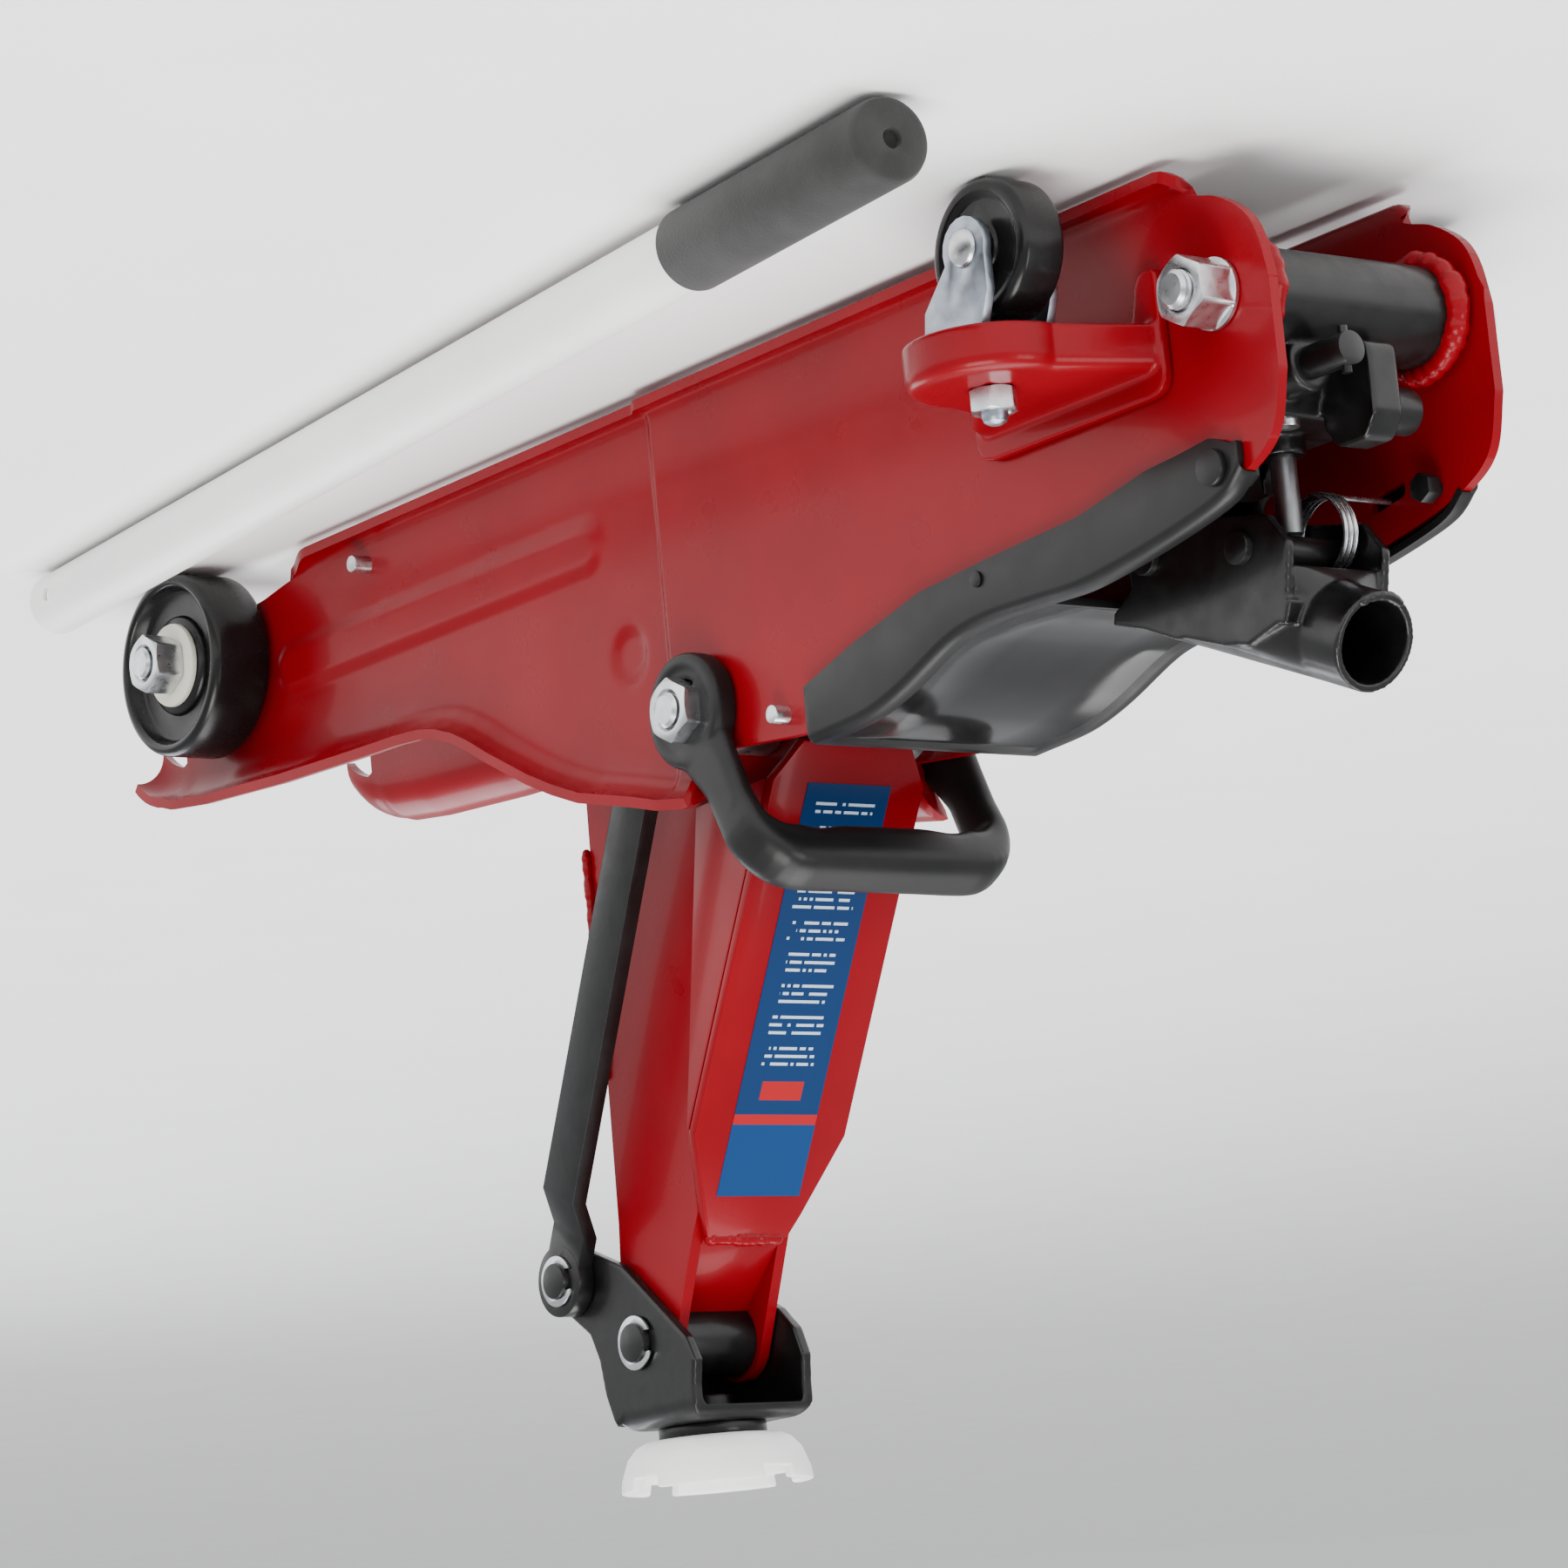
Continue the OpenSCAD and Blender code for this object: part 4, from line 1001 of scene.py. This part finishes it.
def caster_bracket(side):
    """Pressed bracket: a flange on the web that runs out into a round domed cap with a turned-down skirt."""
    sign = -1 if side == "right" else 1
    bm = bmesh.new()
    cap_r, wall = 25.5, 3.5
    levels = [(46.5, 0.0), (56.2, 0.0), (58.4, 0.5), (59.8, 1.9), (60.5, 4.4)]

    def plan(inset):
        r = cap_r - inset
        pts = []
        for k in range(41):
            a = math.radians(-8 + 196 * k / 40)
            pts.append((KING_X + r * math.cos(a), KING_Y + r * math.sin(a)))
        pts += [(KING_X - 29 + inset, 66), (-236 + inset, 55), (-240 + inset, 44.6)]
        pts += [(-152 - inset, 44.6), (-158 - inset, 55), (KING_X + 29 - inset, 68)]
        return pts

    outer = [[Vector((x, sign * y, z)) * MM for x, y in plan(i)] for z, i in levels]
    inner = [[Vector((x, sign * y, z)) * MM for x, y in plan(wall + i * 0.7)] for z, i in
             ((46.5, 0.0), (55.0, 0.0), (56.4, 1.4), (57.0, 3.4))]
    made = [[bm.verts.new(p) for p in ring] for ring in outer]
    n = len(made[0])
    for a, b in zip(made, made[1:]):
        for i in range(n):
            bm.faces.new((a[i], a[(i + 1) % n], b[(i + 1) % n], b[i]))
    bm.faces.new(made[-1])
    under = [[bm.verts.new(p) for p in ring] for ring in inner]
    for a, b in zip(under, under[1:]):
        for i in range(n):
            bm.faces.new((a[(i + 1) % n], a[i], b[i], b[(i + 1) % n]))
    bm.faces.new(list(reversed(under[-1])))
    for i in range(n):
        bm.faces.new((made[0][(i + 1) % n], made[0][i], under[0][i], under[0][(i + 1) % n]))
    outline = [(-240, 30), (-232, 30), (-228, 46), (-152, 46), (-152, 68), (-240, 68)]
    flange = rounded(outline, [3, 3, 6, 5, 8, 8], 6)
    add_prism(bm, flange, sign * 44.6, sign * 48.4)
    bmesh.ops.triangulate(bm, faces=[f for f in bm.faces if len(f.verts) > 8])
    name = "caster_bracket_" + side
    cast_from("pressed_" + name, bm, "red_paint", "chassis", (name,), 0.7, 9)


def pump_casting():
    """Cast pump body: a round cross boss, a squared block, its pump boss, plug seat and fulcrum lugs."""
    bm = bmesh.new()
    add_prism(bm, circle(*REAR_TUBE, 15.5, 48), -36.5, 36.5)
    add_prism(bm, rounded([(-252, 30), (-214, 30), (-214, 72), (-259, 72), (-259, 50)], 3), -27, 27)
    add_prism(bm, rounded([(-262, 60), (-214, 60), (-214, 76.6), (-256, 76.6)], 3), -20, 20)
    plug_seat = [(-279, 58), (-257, 58), (-257, 80), (-262, 87), (-274, 87), (-279, 80)]
    add_prism(bm, rounded(plug_seat, 4), -4, 7.5)
    add_lathe(bm, [(0.01, 60), (7.5, 60), (7.5, 82.4), (6.8, 83), (0.01, 83)], upright(-234, 0, 0), 48)
    add_lathe(bm, [(3, -250), (8.5, -250), (8.5, -268), (7.5, -269), (3, -269)],
              Matrix.Translation(Vector((0, -17, 64)) * MM) @ Matrix.Rotation(math.pi / 2, 4, "Y"), 40)
    lug = [(-219, 70), (-214.4, 70), (-214.4, 88), (-184, 88), (-184, 105), (-202, 105), (-205, 96),
           (-213, 86), (-219, 79)]
    for y in (-15, 9):
        add_prism(bm, circle(-193, 105, 9, 40), y, y + 6)
        add_prism(bm, lug, y, y + 6)
    cast_from("cast_pump_block", bm, "black_paint", "chassis", ("pump_block",), 0.8, 3)


def socket_casting():
    """Handle socket: the tube runs out into its cheeks through a welded hood, open underneath."""
    axis = Vector((0.9135, 0, -0.4067))
    up = Vector((0.4067, 0, 0.9135))
    mouth = Vector((-264.5, 0, 145.6))
    across = Vector((0, 1, 0))
    tube_r, bore_r, cheek_y = 15, 12.5, 20.3

    def round_mouth(deep, radius, angle):
        return mouth + axis * deep + (up * math.cos(angle) + across * math.sin(angle)) * radius

    hood = bmesh.new()
    for k in range(40):
        hood.verts.new(round_mouth(17, tube_r, 2 * math.pi * k / 40) * MM)
    for x, z in ((-229, 139), (-222, 138), (-200, 130), (-188, 125), (-175, 120), (-246, 112), (-250, 118),
                 (-190, 108), (-236, 108)):
        for y in (-cheek_y, cheek_y):
            hood.verts.new(Vector((x, y, z)) * MM)
    made = bmesh.ops.convex_hull(hood, input=hood.verts)
    inside = [v for v in made["geom_interior"] if isinstance(v, bmesh.types.BMVert)]
    bmesh.ops.delete(hood, geom=inside, context="VERTS")
    shell = hidden_part("hood", hood)
    bore = bmesh.new()
    turn = Matrix((across, up, axis)).transposed().to_4x4()
    drill = [(0.01, -20), (bore_r, -20), (bore_r, 60), (0.01, 60)]
    add_lathe(bore, drill, Matrix.Translation(mouth * MM) @ turn, 64)
    cutter(shell, hidden_part("bore_tool", bore))
    pocket = [(-262, 90), (-262, 120), (-216, 120), (-184, 117.5), (-165, 111), (-165, 90)]
    cutter(shell, prism_tool("pocket_tool", pocket, -17.4, 17.4))
    baked(shell)
    bm = cad_copy("handle_socket")
    for v in bm.verts:
        x, z = v.co.x / MM, v.co.z / MM
        if x > -237 and z > 126 and abs(v.co.y) > 17 * MM:
            v.co.z -= 7.0 * MM * step(-237, -231, x) * (1 - step(-218, -200, x))
    bm.from_mesh(shell.data)
    TOOLS.append(shell)
    cast_from("cast_handle_socket", bm, "black_paint", "socket", ("handle_socket",), 0.7, 6)
    bead = [round_mouth(0.8, 13.8, math.radians(d)) for d in range(150, 215, 8)]
    weld("socket_weld", "socket", "black_paint", bead, 1.7, 41)


def spigot_sleeve():
    """Dark retaining collar on the saddle's spigot, under the bracket's deck."""
    bm = bmesh.new()
    add_lathe(bm, [(0.01, 321.8), (7.4, 321.8), (7.9, 322.4), (7.9, 327.2), (6.02, 327.2), (6.02, 323.2),
                   (0.01, 323.2)], upright(90, 0, 0), 48)
    from_bmesh("spigot_sleeve", bm, "black_paint", "saddle", (), 0, 35)


def bracket():
    """Saddle bracket bent from one sheet: the deck turns down into the ears with round bends."""
    bm = cad_copy("saddle_bracket")
    for z, y, radius in ((331.5, 24.5, 6.5), (327.5, 20.5, 2.5)):
        edges = [e for e in bm.edges if all(
            abs(v.co.z / MM - z) < 0.05 and abs(abs(v.co.y) / MM - y) < 0.05 for v in e.verts)
            and e.calc_length() > 20 * MM]
        if edges:
            bmesh.ops.bevel(bm, geom=edges, offset=radius * MM, segments=7, affect="EDGES", profile=0.5)
    cast_from("bent_saddle_bracket", bm, "black_paint", "bracket", ("saddle_bracket",), 0.6, 2)
    bm = bmesh.new()
    add_prism(bm, [(106.9, 308), (109.0, 308), (109.0, 328.4), (106.9, 328.4)], -20.6, 20.6)
    from_bmesh("bracket_front_web", bm, "black_paint", "bracket", (), 0.4)


def socket_spring():
    """Torsion spring wound from wire: a long leg that lies in the left plate's slot, then three turns of coil
    and a short end.
    """
    x, z, coil, turns, points = -234, 105.6, 12.2, 3, 40
    path = [(x - 1, y, z - coil) for y in (41, 38, 35, 32, 29, 26, 23, 20)] + [(x - 0.8, 17.6, z - coil)]
    for i in range(turns * points + 1):
        a = 2 * math.pi * i / points - math.pi / 2
        path.append((x + coil * math.cos(a), 16.3 - 2 * i / points, z + coil * math.sin(a)))
    path += [(x + 5, 10.3, z - coil + 0.6), (x + 9, 10.3, z - coil + 1.2)]
    bm = bmesh.new()
    add_tube(bm, path, 0.9, 12)
    bmesh.ops.recalc_face_normals(bm, faces=bm.faces)
    obj = raw_object("wound_socket_spring", bm, ("spring_steel",))
    smoothed(obj, 60)
    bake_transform(obj)
    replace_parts(obj, "socket_spring")


def arm_throat():
    """Plate that closes the arm between its cheeks, from the back plate up to the tube."""
    bm = bmesh.new()
    a, b = on_back(154, 1.5, 0), (88, 0, 296)
    outline = [(a[0], a[2]), (a[0] + 4, a[2] - 3), (b[0] + 3, b[2] - 3), (b[0], b[2])]
    add_prism(bm, outline, -16, 16)
    from_bmesh("arm_throat", bm, "red_paint", "arm", (), 0.6)


BACK_LEAN = math.radians(60.9)  # of the arm's back plate, from level
BACK_FOOT = (-15.1, 136)


def label_sheet():
    """Printed film. Its pattern follows the label's own length and width."""
    obj = dressed("arm_label", "label", 0)
    layer = obj.data.attributes.new("label_place", "FLOAT_VECTOR", "POINT")
    spots = []
    for v in obj.data.vertices:
        dx, dz = v.co.x - BACK_FOOT[0] * MM, v.co.z - BACK_FOOT[1] * MM
        spots += [dx * math.cos(BACK_LEAN) + dz * math.sin(BACK_LEAN), v.co.y, 0.0]
    layer.data.foreach_set("vector", spots)


def on_back(s, inward, y):
    """Point at a distance up the arm's back and a depth in from its outer face."""
    c, k = math.cos(BACK_LEAN), math.sin(BACK_LEAN)
    return (BACK_FOOT[0] + s * c + inward * k, y, BACK_FOOT[1] + s * k - inward * c)


def welds():
    for sign, name in ((-1, "right"), (1, "left")):
        weld("arm_weld_back_" + name, "arm", "red_paint",
             [on_back(s, 4.8, sign * 20.6) for s in range(2, 120, 4)], 2.2, 3 + sign)
        weld("arm_weld_front_" + name, "arm", "red_paint",
             [(104.6, sign * 20.4, z) for z in range(136, 214, 4)], 1.8, 9 + sign)
        ring = [(x, sign * 36.2, z) for x, z in circle(*REAR_TUBE, 16.4, 24)]
        weld("tube_weld_" + name, "chassis", "red_paint", ring, 3.9, 20 + sign, True)
    weld("plate_top_weld", "arm", "red_paint", [on_back(157.5, 1.5, y) for y in range(-14, 15, 3)], 2.6, 31)


def grip():
    obj = dressed("foam_grip", "foam", 1.4)


# ---- run ------------------------------------------------------------------

set_camera()
make_finishes()
set_stage()
WELD = weld_tree()
FASTEN = fastener_tree()

side_plate("pressed_side_plate_right", False)
side_plate("pressed_side_plate_left", True)
cover()

place_nuts()
front_wheel("right")
front_wheel("left")
carry_handle()
caster_bracket("right")
caster_bracket("left")
pump_casting()
socket_casting()
spigot_sleeve()
socket_spring()
bracket()
arm_throat()
label_sheet()
grip()
welds()

FINISH_OF = {"lever_roller": "black_paint"}
NODE_BEVELS = {"circlips": 0.15, "lift_arm": 1.0}
SLOT_BEVELS = {"white_paint": 0.8, "wheel": 1.0, "red_paint": 0.8, "zinc": 0.5}
REPLACED = {n for o in bpy.data.objects for n in o.get("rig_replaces", [])}
for name in NODES:
    if name not in REPLACED:
        slot = SLOT_OF[name]
        bevel = NODE_BEVELS.get(name, SLOT_BEVELS.get(slot, 0.5))
        dressed(name, FINISH_OF.get(name, slot), bevel, 22 if name == "lift_arm" else 38)

clear_tools()
